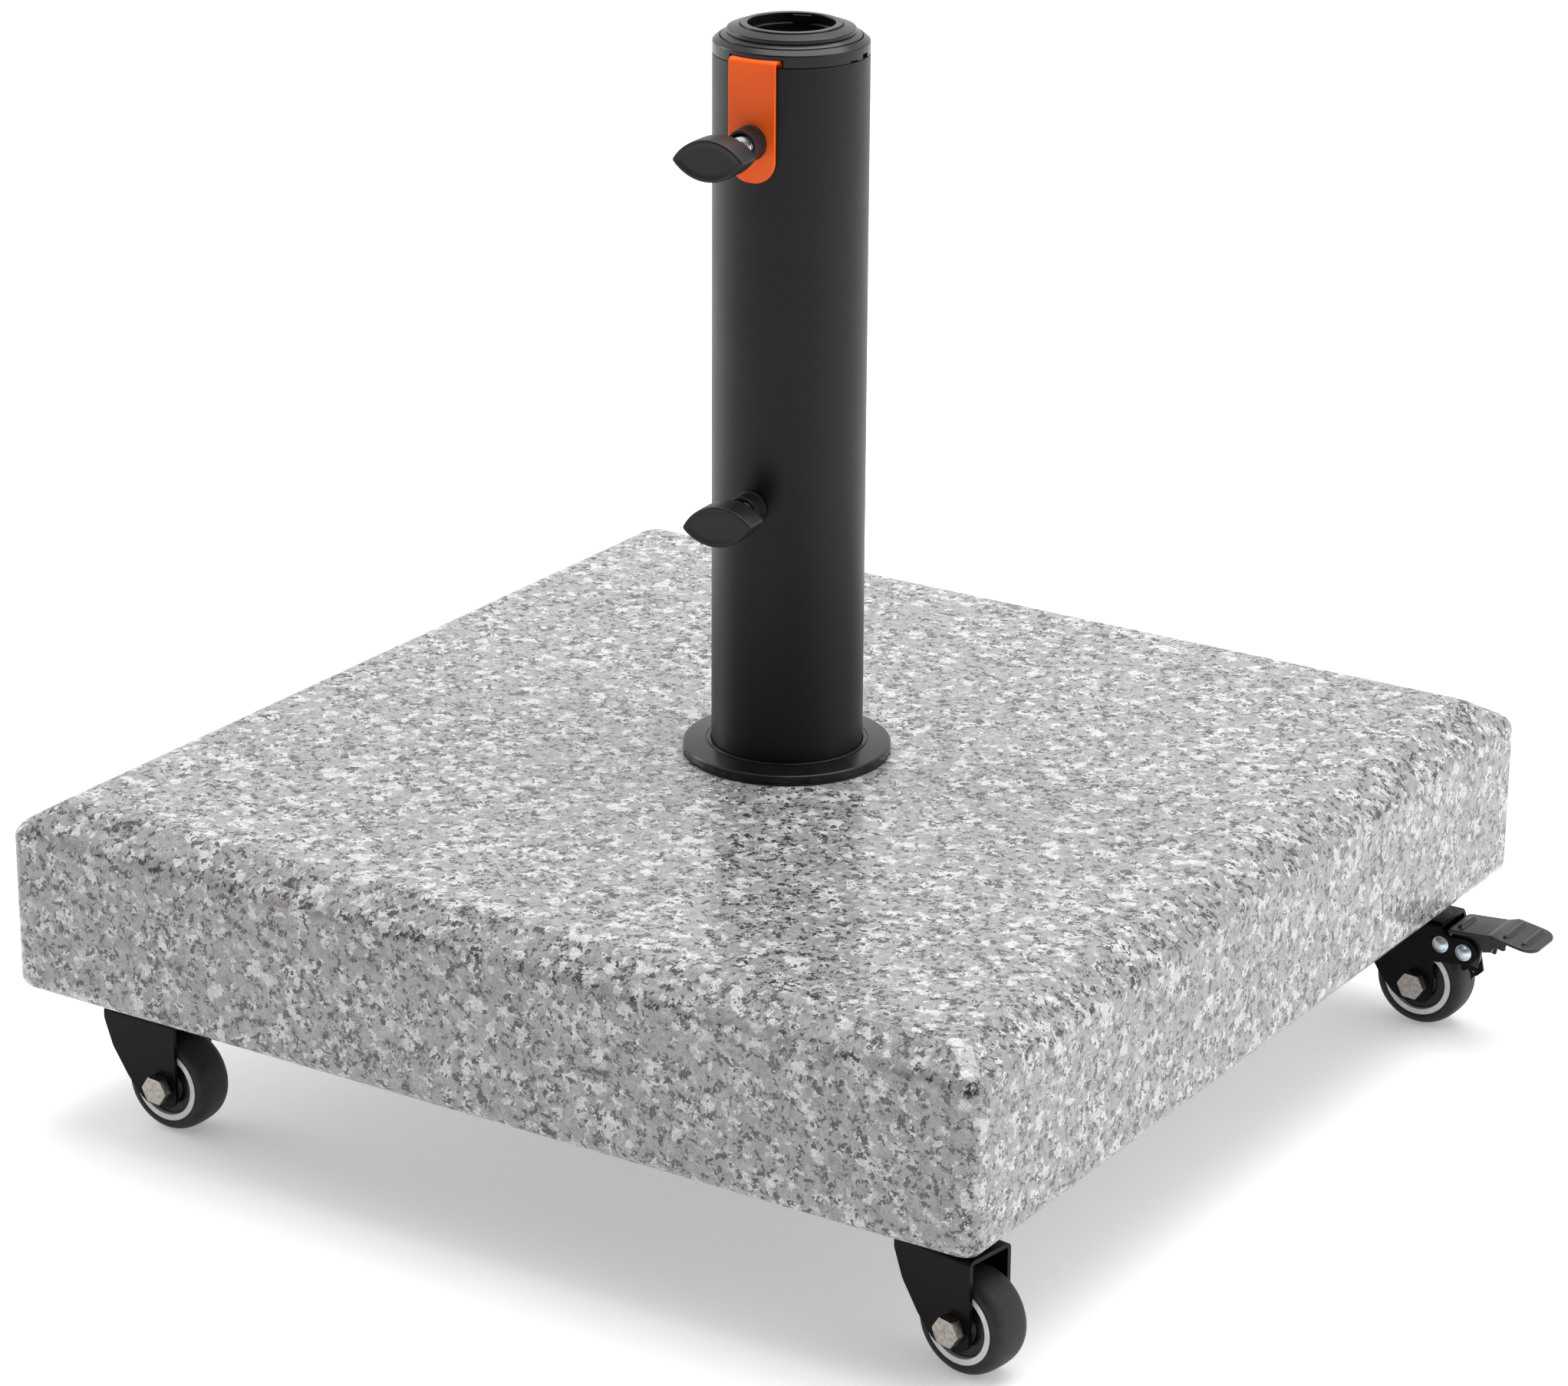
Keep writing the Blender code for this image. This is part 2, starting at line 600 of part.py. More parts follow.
def fork(braked):
    """U-shaped sheet fork with a raised lower race, the kingpin's hole and the axle's holes."""
    half = FORK_WIDTH / 2
    inner = half - FORK_SHEET
    bend = 0.0032
    section = rounded(
        [(-half, 0.0), (-half, FORK_TOP), (half, FORK_TOP), (half, 0.0),
         (inner, 0.0), (inner, FORK_TOP - FORK_SHEET), (-inner, FORK_TOP - FORK_SHEET), (-inner, 0.0)],
        [0, bend, bend, 0, 0, bend - FORK_SHEET, bend - FORK_SHEET, 0], 2)
    channel = prism("fork", section, -0.03, 0.07, "X")
    body = common(channel, prism("cheeks", cheek_outline(braked), -0.03, 0.03, "Y"))
    race_top = SLAB_UNDERSIDE - GAP - PLATE_SHEET - RACE_HEIGHT - 0.0004
    lower_race = turned("race", [
        (0, FORK_TOP - 0.001), (FORK_RACE_RADIUS, FORK_TOP - 0.001), (FORK_RACE_RADIUS, race_top - 0.003),
        (FORK_RACE_RADIUS - 0.002, race_top), (0, race_top),
    ], BOLT_SIDES)
    body = joined(body, lower_race)
    body = cut(body, rod("kingpin_hole", KINGPIN_RADIUS + 0.0006, 0.05, 0.08, BOLT_SIDES))
    bore = rod("axle_hole", AXLE_RADIUS + 0.0004, -0.03, 0.03, BOLT_SIDES, "Y")
    body = cut(body, moved(bore, (TRAIL, 0, WHEEL_RADIUS)))
    if braked:
        for x, z in (SHOE_PIVOT, PEDAL_PIVOT):
            bore = rod("rivet_hole", PIVOT_RIVET_RADIUS + GAP, -0.03, 0.03, BOLT_SIDES, "Y")
            body = cut(body, moved(bore, (x, 0, z)))
    return body


def axle_bolt():
    """Hex bolt along Y about the axle: its head is on the -Y side."""
    seat = FORK_WIDTH / 2 + GAP
    head = turned("axle_bolt", [
        (0, seat), (HEX_CORNER_RADIUS, seat), (HEX_CORNER_RADIUS, seat + BOLT_HEAD - 0.0006),
        (HEX_CORNER_RADIUS - 0.0011, seat + BOLT_HEAD), (0, seat + BOLT_HEAD),
    ], 6, "Y")
    shank = rod("shank", AXLE_RADIUS, -seat - NUT_HEIGHT - 0.0015, seat + 0.001, BOLT_SIDES, "Y")
    return joined(head, shank)


def axle_nut():
    seat = -FORK_WIDTH / 2 - GAP
    end = seat - NUT_HEIGHT
    nut = turned("axle_nut", [
        (0, end), (HEX_CORNER_RADIUS - 0.0009, end), (HEX_CORNER_RADIUS, end + 0.0006),
        (HEX_CORNER_RADIUS, seat), (0, seat),
    ], 6, "Y")
    return cut(nut, rod("bore", AXLE_RADIUS + GAP, end - 0.01, seat + 0.01, BOLT_SIDES, "Y"))


def mirrored_profile(half):
    """A profile for one side of a wheel part, given from the inside out, completed on the other side."""
    return [(radius, -height) for radius, height in reversed(half)] + list(half)


def wheel_core():
    """Rim, web and hub in one piece, with a pocket on each side for the hub cap."""
    web = 0.0079
    rim = TYRE_HALF_WIDTH - 0.0001
    bore = AXLE_RADIUS + 0.0004
    half = [(bore, web), (RIM_INNER_RADIUS, web), (RIM_INNER_RADIUS, rim), (RIM_RADIUS, rim)]
    return turned("wheel_core", mirrored_profile(half), HUB_SIDES, "Y")


def tyre():
    inner = RIM_RADIUS + GAP
    half = [
        (inner, TYRE_HALF_WIDTH), (0.0212, TYRE_HALF_WIDTH - 0.0001), (0.0236, 0.0098), (0.0247, 0.0068),
        (WHEEL_RADIUS, 0.0025),
    ]
    return turned("tyre", mirrored_profile(half), TYRE_SIDES, "Y", flats=True)


def hub_cap():
    """Disc that closes one side of the wheel, with a raised boss that keeps the wheel off the fork."""
    low = 0.0082
    return turned("hub_cap", [
        (AXLE_RADIUS + 0.0006, low), (RIM_INNER_RADIUS - GAP, low), (RIM_INNER_RADIUS - GAP, 0.0092),
        (0.0092, 0.0096), (0.0082, 0.0118), (AXLE_RADIUS + 0.0006, 0.0118),
    ], HUB_SIDES, "Y")


# Brake, modelled about its pivots: X forward along the caster, Z up

def brake_pedal():
    """Stamped lever with a wide rounded pad, and two ears down to its pivot between the fork's lugs."""
    x, z = PEDAL_PIVOT
    upper = [(0.0368, 0.0585), (0.0600, 0.0605), (0.0655, 0.0612), (PEDAL_TIP, 0.0577)]
    lower = [(u, v - PEDAL_SHEET) for u, v in reversed(upper)]
    blade = prism("brake_pedal", [(u - x, v - z) for u, v in upper + lower], -0.03, 0.03, "Y")
    neck = 0.0135
    plan = rounded(
        [(0.0368, -neck), (0.0615, -neck), (0.0645, -PEDAL_HALF_WIDTH), (PEDAL_TIP, -PEDAL_HALF_WIDTH),
         (PEDAL_TIP, PEDAL_HALF_WIDTH), (0.0645, PEDAL_HALF_WIDTH), (0.0615, neck), (0.0368, neck)],
        [0.002, 0, 0.003, 0.008, 0.008, 0.003, 0, 0.002], 3)
    mesh = common(blade, prism("plan", [(u - x, v) for u, v in plan], -0.03, 0.03, "Z"))
    corners = [(0.0483, 0.0406), (0.0549, 0.0400), (0.0577, 0.0594), (0.0405, 0.0582)]
    ear = arc((0, 0), 0.0060, 185, 250, 3) + [(u - x, v - z) for u, v in corners]
    for side in (-1, 1):
        low, high = sorted((side * EAR_OUTER, side * EAR_INNER))
        mesh = joined(mesh, prism("ear", ear, low, high, "Y"))
    return cut(mesh, rod("bore", PIVOT_RIVET_RADIUS + GAP, -0.03, 0.03, BOLT_SIDES, "Y"))


def brake_shoe():
    """Toothed plate beside the tyre, hung from its pin, with a bridge to a short cheek on the far side."""
    x, z = SHOE_PIVOT
    outer, inner = SHOE_HALF_WIDTH, SHOE_HALF_WIDTH - SHOE_SHEET
    hanger = arc(SHOE_PIVOT, 0.0032, 80, 235, 6)
    toothed = hanger + [
        (0.0408, 0.0462), (0.0448, 0.0412), (0.0442, 0.0372), (0.0484, 0.0382), (0.0506, 0.0317),
        (0.0541, 0.0354), (0.0570, 0.0384), (0.0553, 0.0535), (0.0420, 0.0535),
    ]
    short = hanger + [(0.0408, 0.0462), (0.0430, 0.0480), (0.0430, 0.0535)]
    bridge = [(0.0365, 0.0516), (0.0430, 0.0516), (0.0430, 0.0530), (0.0365, 0.0530)]

    def plate(outline, low, high):
        return prism("brake_shoe", [(u - x, v - z) for u, v in outline], low, high, "Y")

    body = joined(plate(toothed, -outer, -inner), plate(bridge, -outer + 0.0004, outer - 0.0004))
    body = joined(body, plate(short, inner, outer))
    body = cut(body, rod("bore", PIVOT_RIVET_RADIUS + GAP, -0.03, 0.03, BOLT_SIDES, "Y"))
    passage = rod("passage", 0.0034, -0.03, 0.03, BOLT_SIDES, "Y")
    return cut(body, moved(passage, (PEDAL_PIVOT[0] - x, 0, PEDAL_PIVOT[1] - z)))


def rivet():
    """Pin along Y with a domed head at each end, outside the fork's lugs."""
    seat = FORK_WIDTH / 2 + GAP
    half = [(PIVOT_RIVET_RADIUS, seat), (0.0045, seat), (0.0032, seat + 0.0017), (0, seat + 0.0022)]
    return turned("rivet", mirrored_profile(half), BOLT_SIDES, "Y")


def build_column(finishes):
    column = empty("column_axis", turn=CLAMP_TURN)
    place("column_tube", column_tube(), finishes["coat"], column)
    place("top_cap", top_cap(), finishes["plastic"], column)
    place("cap_insert", cap_insert(), finishes["plastic"], column)
    place("reducer_large", reducer_large(), finishes["plastic"], column)
    place("reducer_small", reducer_small(), finishes["plastic"], column)
    place("clamp_tongue", clamp_tongue(), finishes["orange"], column)
    place("upper_nut_bush", nut_bush("upper_nut_bush", TONGUE_OUTSIDE), finishes["coat"], column,
          (0, 0, UPPER_SCREW_HEIGHT))
    place("lower_nut_bush", nut_bush("lower_nut_bush", COLUMN_RADIUS), finishes["coat"], column,
          (0, 0, LOWER_SCREW_HEIGHT))
    grip, screw, pad = knob(), hand_screw(), pressure_pad()
    settings = {
        "upper": (UPPER_KNOB_FACE, UPPER_SCREW_HEIGHT, math.radians(3.8)),
        "lower": (LOWER_KNOB_FACE, LOWER_SCREW_HEIGHT, math.radians(9.5)),
    }
    for name, (face, height, tilt) in settings.items():
        spot = (0, -face, height)
        place(name + "_knob", grip, finishes["plastic"], column, spot, -tilt)
        place(name + "_screw", screw, finishes["steel"], column, spot, -tilt)
        place(name + "_pressure_pad", pad, finishes["plastic"], column, spot)


def build_caster(name, meshes, finishes, spot, yaw, braked):
    axis = empty("caster_axis_" + name, None, spot, yaw)
    place("caster_plate_" + name, meshes["plate"], finishes["zinc"], None, spot)
    place("fork_" + name, meshes["braked_fork" if braked else "fork"], finishes["black_steel"], axis)
    axle = (TRAIL, 0, WHEEL_RADIUS)
    place("axle_bolt_" + name, meshes["bolt"], finishes["steel"], axis, axle)
    place("axle_nut_" + name, meshes["nut"], finishes["steel"], axis, axle)
    place("wheel_core_" + name, meshes["core"], finishes["rim"], axis, axle)
    place("tyre_" + name, meshes["tyre"], finishes["tyre"], axis, axle)
    place("hub_cap_outer_" + name, meshes["cap"], finishes["plastic"], axis, axle)
    far_cap = place("hub_cap_inner_" + name, meshes["cap"], finishes["plastic"], axis, axle)
    far_cap.rotation_euler = (0, 0, math.pi)
    if braked:
        pedal_axis = (PEDAL_PIVOT[0], 0, PEDAL_PIVOT[1])
        shoe_axis = (SHOE_PIVOT[0], 0, SHOE_PIVOT[1])
        place("brake_pedal_" + name, meshes["pedal"], finishes["black_steel"], axis, pedal_axis)
        place("brake_shoe_" + name, meshes["shoe"], finishes["black_steel"], axis, shoe_axis)
        place("pedal_rivet_" + name, meshes["rivet"], finishes["zinc"], axis, pedal_axis)
        place("shoe_rivet_" + name, meshes["rivet"], finishes["zinc"], axis, shoe_axis)


def main():
    clear_scene()
    finishes = {
        "granite": material("granite", (0.55, 0.54, 0.53), 0.25),
        "coat": material("powder_coat", (0.028, 0.028, 0.030), 0.55),
        "plastic": material("black_plastic", (0.020, 0.020, 0.022), 0.42),
        "orange": material("orange_paint", (0.73, 0.11, 0.022), 0.40),
        "steel": material("plain_steel", (0.52, 0.49, 0.45), 0.35, 1.0),
        "zinc": material("zinc_plate", (0.62, 0.66, 0.70), 0.30, 1.0),
        "black_steel": material("black_steel", (0.015, 0.015, 0.016), 0.40),
        "tyre": material("tyre_rubber", (0.045, 0.045, 0.047), 0.60),
        "rim": material("rim_plastic", (0.55, 0.55, 0.53), 0.50),
        "rubber": material("gasket_rubber", (0.02, 0.02, 0.02), 0.80),
    }
    place("granite_slab", granite_slab(), finishes["granite"])
    place("anchor_bolt", anchor_bolt(), finishes["steel"])
    place("anchor_washer", anchor_washer(), finishes["zinc"])
    place("foot_gasket", foot_gasket(), finishes["rubber"])
    place("foot_plate", foot_plate(), finishes["steel"])
    place("cover_ring", cover_ring(), finishes["plastic"])
    build_column(finishes)
    meshes = {
        "plate": caster_plate(), "fork": fork(False), "braked_fork": fork(True), "bolt": axle_bolt(),
        "nut": axle_nut(), "core": wheel_core(), "tyre": tyre(), "cap": hub_cap(),
        "pedal": brake_pedal(), "shoe": brake_shoe(), "rivet": rivet(),
    }
    for name, (side_x, side_y, yaw, braked) in CASTERS.items():
        spot = (side_x * CASTER_PITCH, side_y * CASTER_PITCH, 0)
        build_caster(name, meshes, finishes, spot, yaw, braked)


main()
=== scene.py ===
"""Looks of the square granite parasol base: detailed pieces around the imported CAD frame, with its studio."""
import math

import bmesh
import bpy
from mathutils import Matrix, Vector


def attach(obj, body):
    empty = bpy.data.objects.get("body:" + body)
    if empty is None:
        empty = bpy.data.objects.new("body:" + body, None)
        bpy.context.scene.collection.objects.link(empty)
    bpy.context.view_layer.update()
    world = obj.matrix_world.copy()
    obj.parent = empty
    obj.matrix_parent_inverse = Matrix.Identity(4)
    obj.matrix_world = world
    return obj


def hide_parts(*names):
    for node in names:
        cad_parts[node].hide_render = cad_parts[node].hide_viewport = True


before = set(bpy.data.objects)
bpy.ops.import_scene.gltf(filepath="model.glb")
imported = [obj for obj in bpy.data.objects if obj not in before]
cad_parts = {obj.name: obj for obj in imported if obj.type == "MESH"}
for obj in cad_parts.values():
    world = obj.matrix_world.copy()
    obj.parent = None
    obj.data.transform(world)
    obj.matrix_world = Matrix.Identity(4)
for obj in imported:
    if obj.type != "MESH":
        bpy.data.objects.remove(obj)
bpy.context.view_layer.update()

MM = 0.001
SLAB_UNDERSIDE = 73.5
SLAB_TOP = 171.5
SLAB_THICKNESS = SLAB_TOP - SLAB_UNDERSIDE
SLAB_SIDE = 550.0
COLUMN_RADIUS = 38.0
TONGUE_FACE = 40.0
BUSH_HOLE = 6.4
CLAMP_TURN = math.radians(4.5)
UPPER_SCREW = SLAB_TOP + 321.0
LOWER_SCREW = SLAB_TOP + 138.5
CASTER_PITCH = 231.0
PLATE_LOW, PLATE_TOP = 70.7, 73.2
TRAIL = 20.8
WHEEL_RADIUS = 25.0
RIVET_BORE = 2.3

# Side in X, side in Y, turn about the kingpin, and whether the caster has a brake
CASTERS = {
    "front_left": (-1, -1, 0.0, False),
    "front_right": (1, -1, math.radians(-8.7), False),
    "rear_right": (1, 1, 0.0, True),
    "rear_left": (-1, 1, math.pi, True),
}


# Outlines, in millimetres

def arc(centre, radius, start, end, steps):
    """Points along an arc between two angles in degrees."""
    points = []
    for step in range(steps + 1):
        angle = math.radians(start + (end - start) * step / steps)
        points.append((centre[0] + radius * math.cos(angle), centre[1] + radius * math.sin(angle)))
    return points


def rounded(corners, radii, steps):
    """A closed outline with each corner rounded to its own radius, or less where its edges are short."""
    if not isinstance(radii, (list, tuple)):
        radii = [radii] * len(corners)
    outline = []
    count = len(corners)
    for index, (corner, radius) in enumerate(zip(corners, radii)):
        if radius == 0:
            outline.append(corner)
            continue
        before, after = corners[index - 1], corners[(index + 1) % count]
        into = math.atan2(before[1] - corner[1], before[0] - corner[0])
        away = math.atan2(after[1] - corner[1], after[0] - corner[0])
        turn = (away - into + math.pi) % (2 * math.pi) - math.pi
        room = 0.49 * min(math.dist(before, corner), math.dist(corner, after))
        radius = min(radius, room * math.tan(abs(turn) / 2))
        reach = radius / math.tan(abs(turn) / 2)
        distance = radius / math.sin(abs(turn) / 2)
        to_centre = into + turn / 2
        centre = (corner[0] + distance * math.cos(to_centre), corner[1] + distance * math.sin(to_centre))
        first = (corner[0] + reach * math.cos(into), corner[1] + reach * math.sin(into))
        start = math.degrees(math.atan2(first[1] - centre[1], first[0] - centre[0]))
        sweep = 180 - math.degrees(abs(turn))
        sign = -1 if turn > 0 else 1
        outline += arc(centre, radius, start, start + sign * sweep, steps)
    return outline


def rectangle(half_x, half_y, radius=0.0, steps=5):
    corners = [(-half_x, -half_y), (half_x, -half_y), (half_x, half_y), (-half_x, half_y)]
    return rounded(corners, radius, steps)


def about(pivot, outline):
    """The outline as seen from a pivot."""
    return [(u - pivot[0], v - pivot[1]) for u, v in outline]


def both_sides(half):
    """A (radius, height) profile with its mirror image below."""
    return [(radius, -height) for radius, height in reversed(half)] + half


# Meshes: made in millimetres, finished in metres

def smoothed(mesh, sharp):
    mesh.shade_smooth()
    mesh.set_sharp_from_angle(angle=math.radians(sharp))
    return mesh


def finish_mesh(shape, name, sharp):
    bmesh.ops.scale(shape, vec=(MM, MM, MM), verts=shape.verts)
    bmesh.ops.remove_doubles(shape, verts=shape.verts, dist=1e-7)
    bmesh.ops.recalc_face_normals(shape, faces=shape.faces)
    mesh = bpy.data.meshes.new(name)
    shape.to_mesh(mesh)
    shape.free()
    return smoothed(mesh, sharp)


def spun(name, profile, sides, axis="Z", sharp=38.0):
    """A closed (radius, height) profile turned about an axis. About Y, height runs towards -Y."""
    shape = bmesh.new()
    rings = []
    for radius, height in profile:
        if radius <= 1e-6:
            rings.append([shape.verts.new((0, 0, height))] * sides)
            continue
        turns = [2 * math.pi * side / sides for side in range(sides)]
        rings.append([shape.verts.new((radius * math.cos(t), radius * math.sin(t), height)) for t in turns])
    for index, ring in enumerate(rings):
        after = rings[(index + 1) % len(rings)]
        for side in range(sides):
            other = (side + 1) % sides
            distinct = list(dict.fromkeys([ring[side], ring[other], after[other], after[side]]))
            if len(distinct) > 2:
                shape.faces.new(distinct)
    if axis == "Y":
        bmesh.ops.transform(shape, matrix=Matrix.Rotation(math.pi / 2, 4, "X"), verts=shape.verts)
    return finish_mesh(shape, name, sharp)


def lofted(name, sections, sharp=38.0):
    """A skin over closed sections with equal counts of points, with both ends closed."""
    shape = bmesh.new()
    rings = [[shape.verts.new(spot) for spot in section] for section in sections]
    shape.faces.new(rings[0])
    shape.faces.new(rings[-1])
    for before, after in zip(rings, rings[1:]):
        for index in range(len(before)):
            other = (index + 1) % len(before)
            shape.faces.new([before[index], before[other], after[other], after[index]])
    return finish_mesh(shape, name, sharp)


def drawn(name, outline, low, high, axis):
    """An outline drawn out along an axis."""
    def spot(u, v, along):
        return {"X": (along, u, v), "Y": (u, along, v), "Z": (u, v, along)}[axis]

    return lofted(name, [[spot(u, v, along) for u, v in outline] for along in (low, high)])


def rod(name, radius, low, high, sides, axis="Z"):
    return spun(name, [(0, low), (radius, low), (radius, high), (0, high)], sides, axis)


def moved(mesh, offset=(0, 0, 0), turn=0.0, axis="Z"):
    """The mesh itself, turned about an axis and then shifted, in millimetres."""
    shift = Matrix.Translation(Vector(offset) * MM)
    mesh.transform(shift @ Matrix.Rotation(turn, 4, axis))
    return mesh


def settled(mesh, modifier, **settings):
    """The mesh with one modifier applied to it."""
    holder = bpy.data.objects.new("holder", mesh)
    bpy.context.scene.collection.objects.link(holder)
    step = holder.modifiers.new("step", modifier)
    for key, value in settings.items():
        setattr(step, key, value)
    view = bpy.context.evaluated_depsgraph_get()
    result = bpy.data.meshes.new_from_object(holder.evaluated_get(view))
    result.name = mesh.name
    bpy.data.objects.remove(holder, do_unlink=True)
    return result


def combined(mesh, tool, operation):
    """The union, difference or intersection of two meshes."""
    cutter = bpy.data.objects.new("cutter", tool)
    bpy.context.scene.collection.objects.link(cutter)
    result = settled(mesh, "BOOLEAN", operation=operation, solver="EXACT", object=cutter)
    bpy.data.objects.remove(cutter, do_unlink=True)
    return result


def cut(mesh, tool):
    return combined(mesh, tool, "DIFFERENCE")


def bevelled(mesh, width, segments, angle=40.0):
    made = settled(mesh, "BEVEL", width=width * MM, segments=segments, limit_method="ANGLE",
                   angle_limit=math.radians(angle))
    return smoothed(made, 50)


def together(name, meshes):
    """Several meshes in one, as separate shells."""
    shape = bmesh.new()
    for mesh in meshes:
        shape.from_mesh(mesh)
    made = bpy.data.meshes.new(name)
    shape.to_mesh(made)
    shape.free()
    return made


# Materials

def node(tree, kind, inputs=None, **settings):
    """A shader node whose inputs are values or other nodes' outputs."""
    made = tree.nodes.new(kind)
    for key, value in settings.items():
        setattr(made, key, value)
    for key, value in (inputs or {}).items():
        socket = made.inputs[key]
        if isinstance(value, bpy.types.NodeSocket):
            tree.links.new(value, socket)
        else:
            socket.default_value = value
    return made


def colour(r, g, b):
    return (r, g, b, 1.0)


def millimetres(tree):
    """A place on the piece, in millimetres."""
    place = node(tree, "ShaderNodeTexCoord").outputs["Object"]
    return node(tree, "ShaderNodeVectorMath", {0: place, "Scale": 1000.0}, operation="SCALE").outputs[0]


def noise(tree, vector, size, detail, roughness=0.5, out="Fac"):
    """Soft noise with blobs of about the given size in millimetres."""
    made = node(tree, "ShaderNodeTexNoise",
                {"Vector": vector, "Scale": 1.0 / size, "Detail": detail, "Roughness": roughness})
    return made.outputs[out]


def grains(tree, vector, size):
    """A random value for each grain of about the given size in millimetres."""
    made = node(tree, "ShaderNodeTexVoronoi", {"Vector": vector, "Scale": 1.0 / size})
    return node(tree, "ShaderNodeSeparateColor", {0: made.outputs["Color"]}).outputs[0]


def arithmetic(tree, operation, first, second):
    return node(tree, "ShaderNodeMath", {0: first, 1: second}, operation=operation).outputs[0]


def spread(tree, value, low, high, to_low=0.0, to_high=1.0, smooth=False):
    """The value stretched from one range to another, and held inside it."""
    kind = "SMOOTHSTEP" if smooth else "LINEAR"
    return node(tree, "ShaderNodeMapRange", {
        "Value": value, "From Min": low, "From Max": high, "To Min": to_low, "To Max": to_high,
    }, interpolation_type=kind, clamp=True).outputs[0]


def swing(tree, value, to_low=0.0, to_high=1.0):
    """Noise, whose values mostly lie between 0.3 and 0.7, stretched to another range."""
    return spread(tree, value, 0.3, 0.7, to_low, to_high)


def mixed(tree, factor, first, second, blend="MIX"):
    made = node(tree, "ShaderNodeMix", {0: factor, 6: first, 7: second}, data_type="RGBA", blend_type=blend)
    return made.outputs[2]


def ramp(tree, value, stops):
    made = node(tree, "ShaderNodeValToRGB", {0: value})
    band = made.color_ramp
    while len(band.elements) < len(stops):
        band.elements.new(0.5)
    for element, (position, tint) in zip(band.elements, stops):
        element.position = position
        element.color = tint
    return made.outputs[0]


def bump(tree, height, strength, depth_mm):
    return node(tree, "ShaderNodeBump", {
        "Height": height, "Strength": strength, "Distance": depth_mm * MM}).outputs[0]


def blank(name, **sockets):
    """A new material, its node tree and its shader, with some of the shader's values set."""
    made = bpy.data.materials.new(name)
    made.use_nodes = True
    shader = made.node_tree.nodes["Principled BSDF"]
    for key, value in sockets.items():
        shader.inputs[key.replace("_", " ")].default_value = value
    return made, made.node_tree, shader


def wire(tree, shader, **sockets):
    """Link node outputs to the shader's sockets of the same names."""
    for key, value in sockets.items():
        tree.links.new(value, shader.inputs[key.replace("_", " ")])


def granite():
    """Polished granite: mottled grey ground, beige patches, pale feldspar and clusters of black mica."""
    made, tree, shader = blank("polished_granite", Specular_IOR_Level=0.70)
    spot = millimetres(tree)
    coarse = noise(tree, spot, 3.4, 2.0, 0.55, "Color")
    fine = noise(tree, spot, 0.9, 2.0, 0.6, "Color")
    bent = node(tree, "ShaderNodeVectorMath", {0: coarse, 1: (7.5, 7.5, 7.5), 2: spot},
                operation="MULTIPLY_ADD").outputs[0]
    bent = node(tree, "ShaderNodeVectorMath", {0: fine, 1: (1.8, 1.8, 1.8), 2: bent},
                operation="MULTIPLY_ADD").outputs[0]
    large, medium, small = grains(tree, bent, 5.4), grains(tree, bent, 3.0), grains(tree, bent, 1.6)
    flake = grains(tree, bent, 2.1)
    drift = noise(tree, spot, 4.2, 3.0, 0.6)

    speckle = arithmetic(tree, "MULTIPLY", small, 0.38)
    shade = arithmetic(tree, "ADD", swing(tree, drift, 0.0, 0.62), speckle)
    ground = ramp(tree, shade, [
        (0.0, colour(0.140, 0.138, 0.141)), (0.35, colour(0.245, 0.242, 0.246)),
        (0.65, colour(0.315, 0.312, 0.317)), (1.0, colour(0.425, 0.425, 0.432)),
    ])
    patches = spread(tree, noise(tree, bent, 6.5, 1.0), 0.53, 0.63, 0.0, 0.60)
    beige = mixed(tree, small, colour(0.270, 0.238, 0.222), colour(0.365, 0.332, 0.315))
    ground = mixed(tree, patches, ground, beige)
    region = noise(tree, spot, 9.0, 2.0)
    pale = arithmetic(tree, "ADD", large, arithmetic(tree, "MULTIPLY", region, 0.30))
    pale = arithmetic(tree, "MAXIMUM", spread(tree, pale, 0.95, 1.0), spread(tree, medium, 0.88, 0.94))
    cream = ramp(tree, small, [(0.0, colour(0.41, 0.41, 0.412)), (0.45, colour(0.51, 0.51, 0.514)),
                               (1.0, colour(0.63, 0.632, 0.640))])
    stone = mixed(tree, pale, ground, cream)
    cluster = spread(tree, noise(tree, spot, 6.0, 3.0, 0.6), 0.50, 0.545)
    flakes = arithmetic(tree, "MULTIPLY", spread(tree, flake, 0.52, 0.58), cluster)
    flakes = arithmetic(tree, "MAXIMUM", flakes, spread(tree, flake, 0.945, 0.96))
    mica = ramp(tree, small, [(0.0, colour(0.012, 0.015, 0.024)), (0.6, colour(0.030, 0.035, 0.048)),
                              (1.0, colour(0.120, 0.125, 0.135))])
    stone = mixed(tree, arithmetic(tree, "MULTIPLY", flakes, 0.96), stone, mica)
    mottle = swing(tree, noise(tree, spot, 0.70, 3.0, 0.7), 0.70, 1.30)
    mottle = node(tree, "ShaderNodeCombineColor", {0: mottle, 1: mottle, 2: mottle}).outputs[0]
    stone = mixed(tree, 1.0, stone, mottle, "MULTIPLY")
    sheen = spread(tree, noise(tree, spot, 1.6, 2.0), 0.35, 0.65, 0.07, 0.13)
    rough = arithmetic(tree, "ADD", sheen, arithmetic(tree, "MULTIPLY", flakes, 0.12))
    pits = arithmetic(tree, "ADD", noise(tree, spot, 0.8, 2.0), arithmetic(tree, "MULTIPLY", flakes, -0.6))
    wire(tree, shader, Base_Color=stone, Roughness=rough, Normal=bump(tree, pits, 0.06, 0.03))
    return made


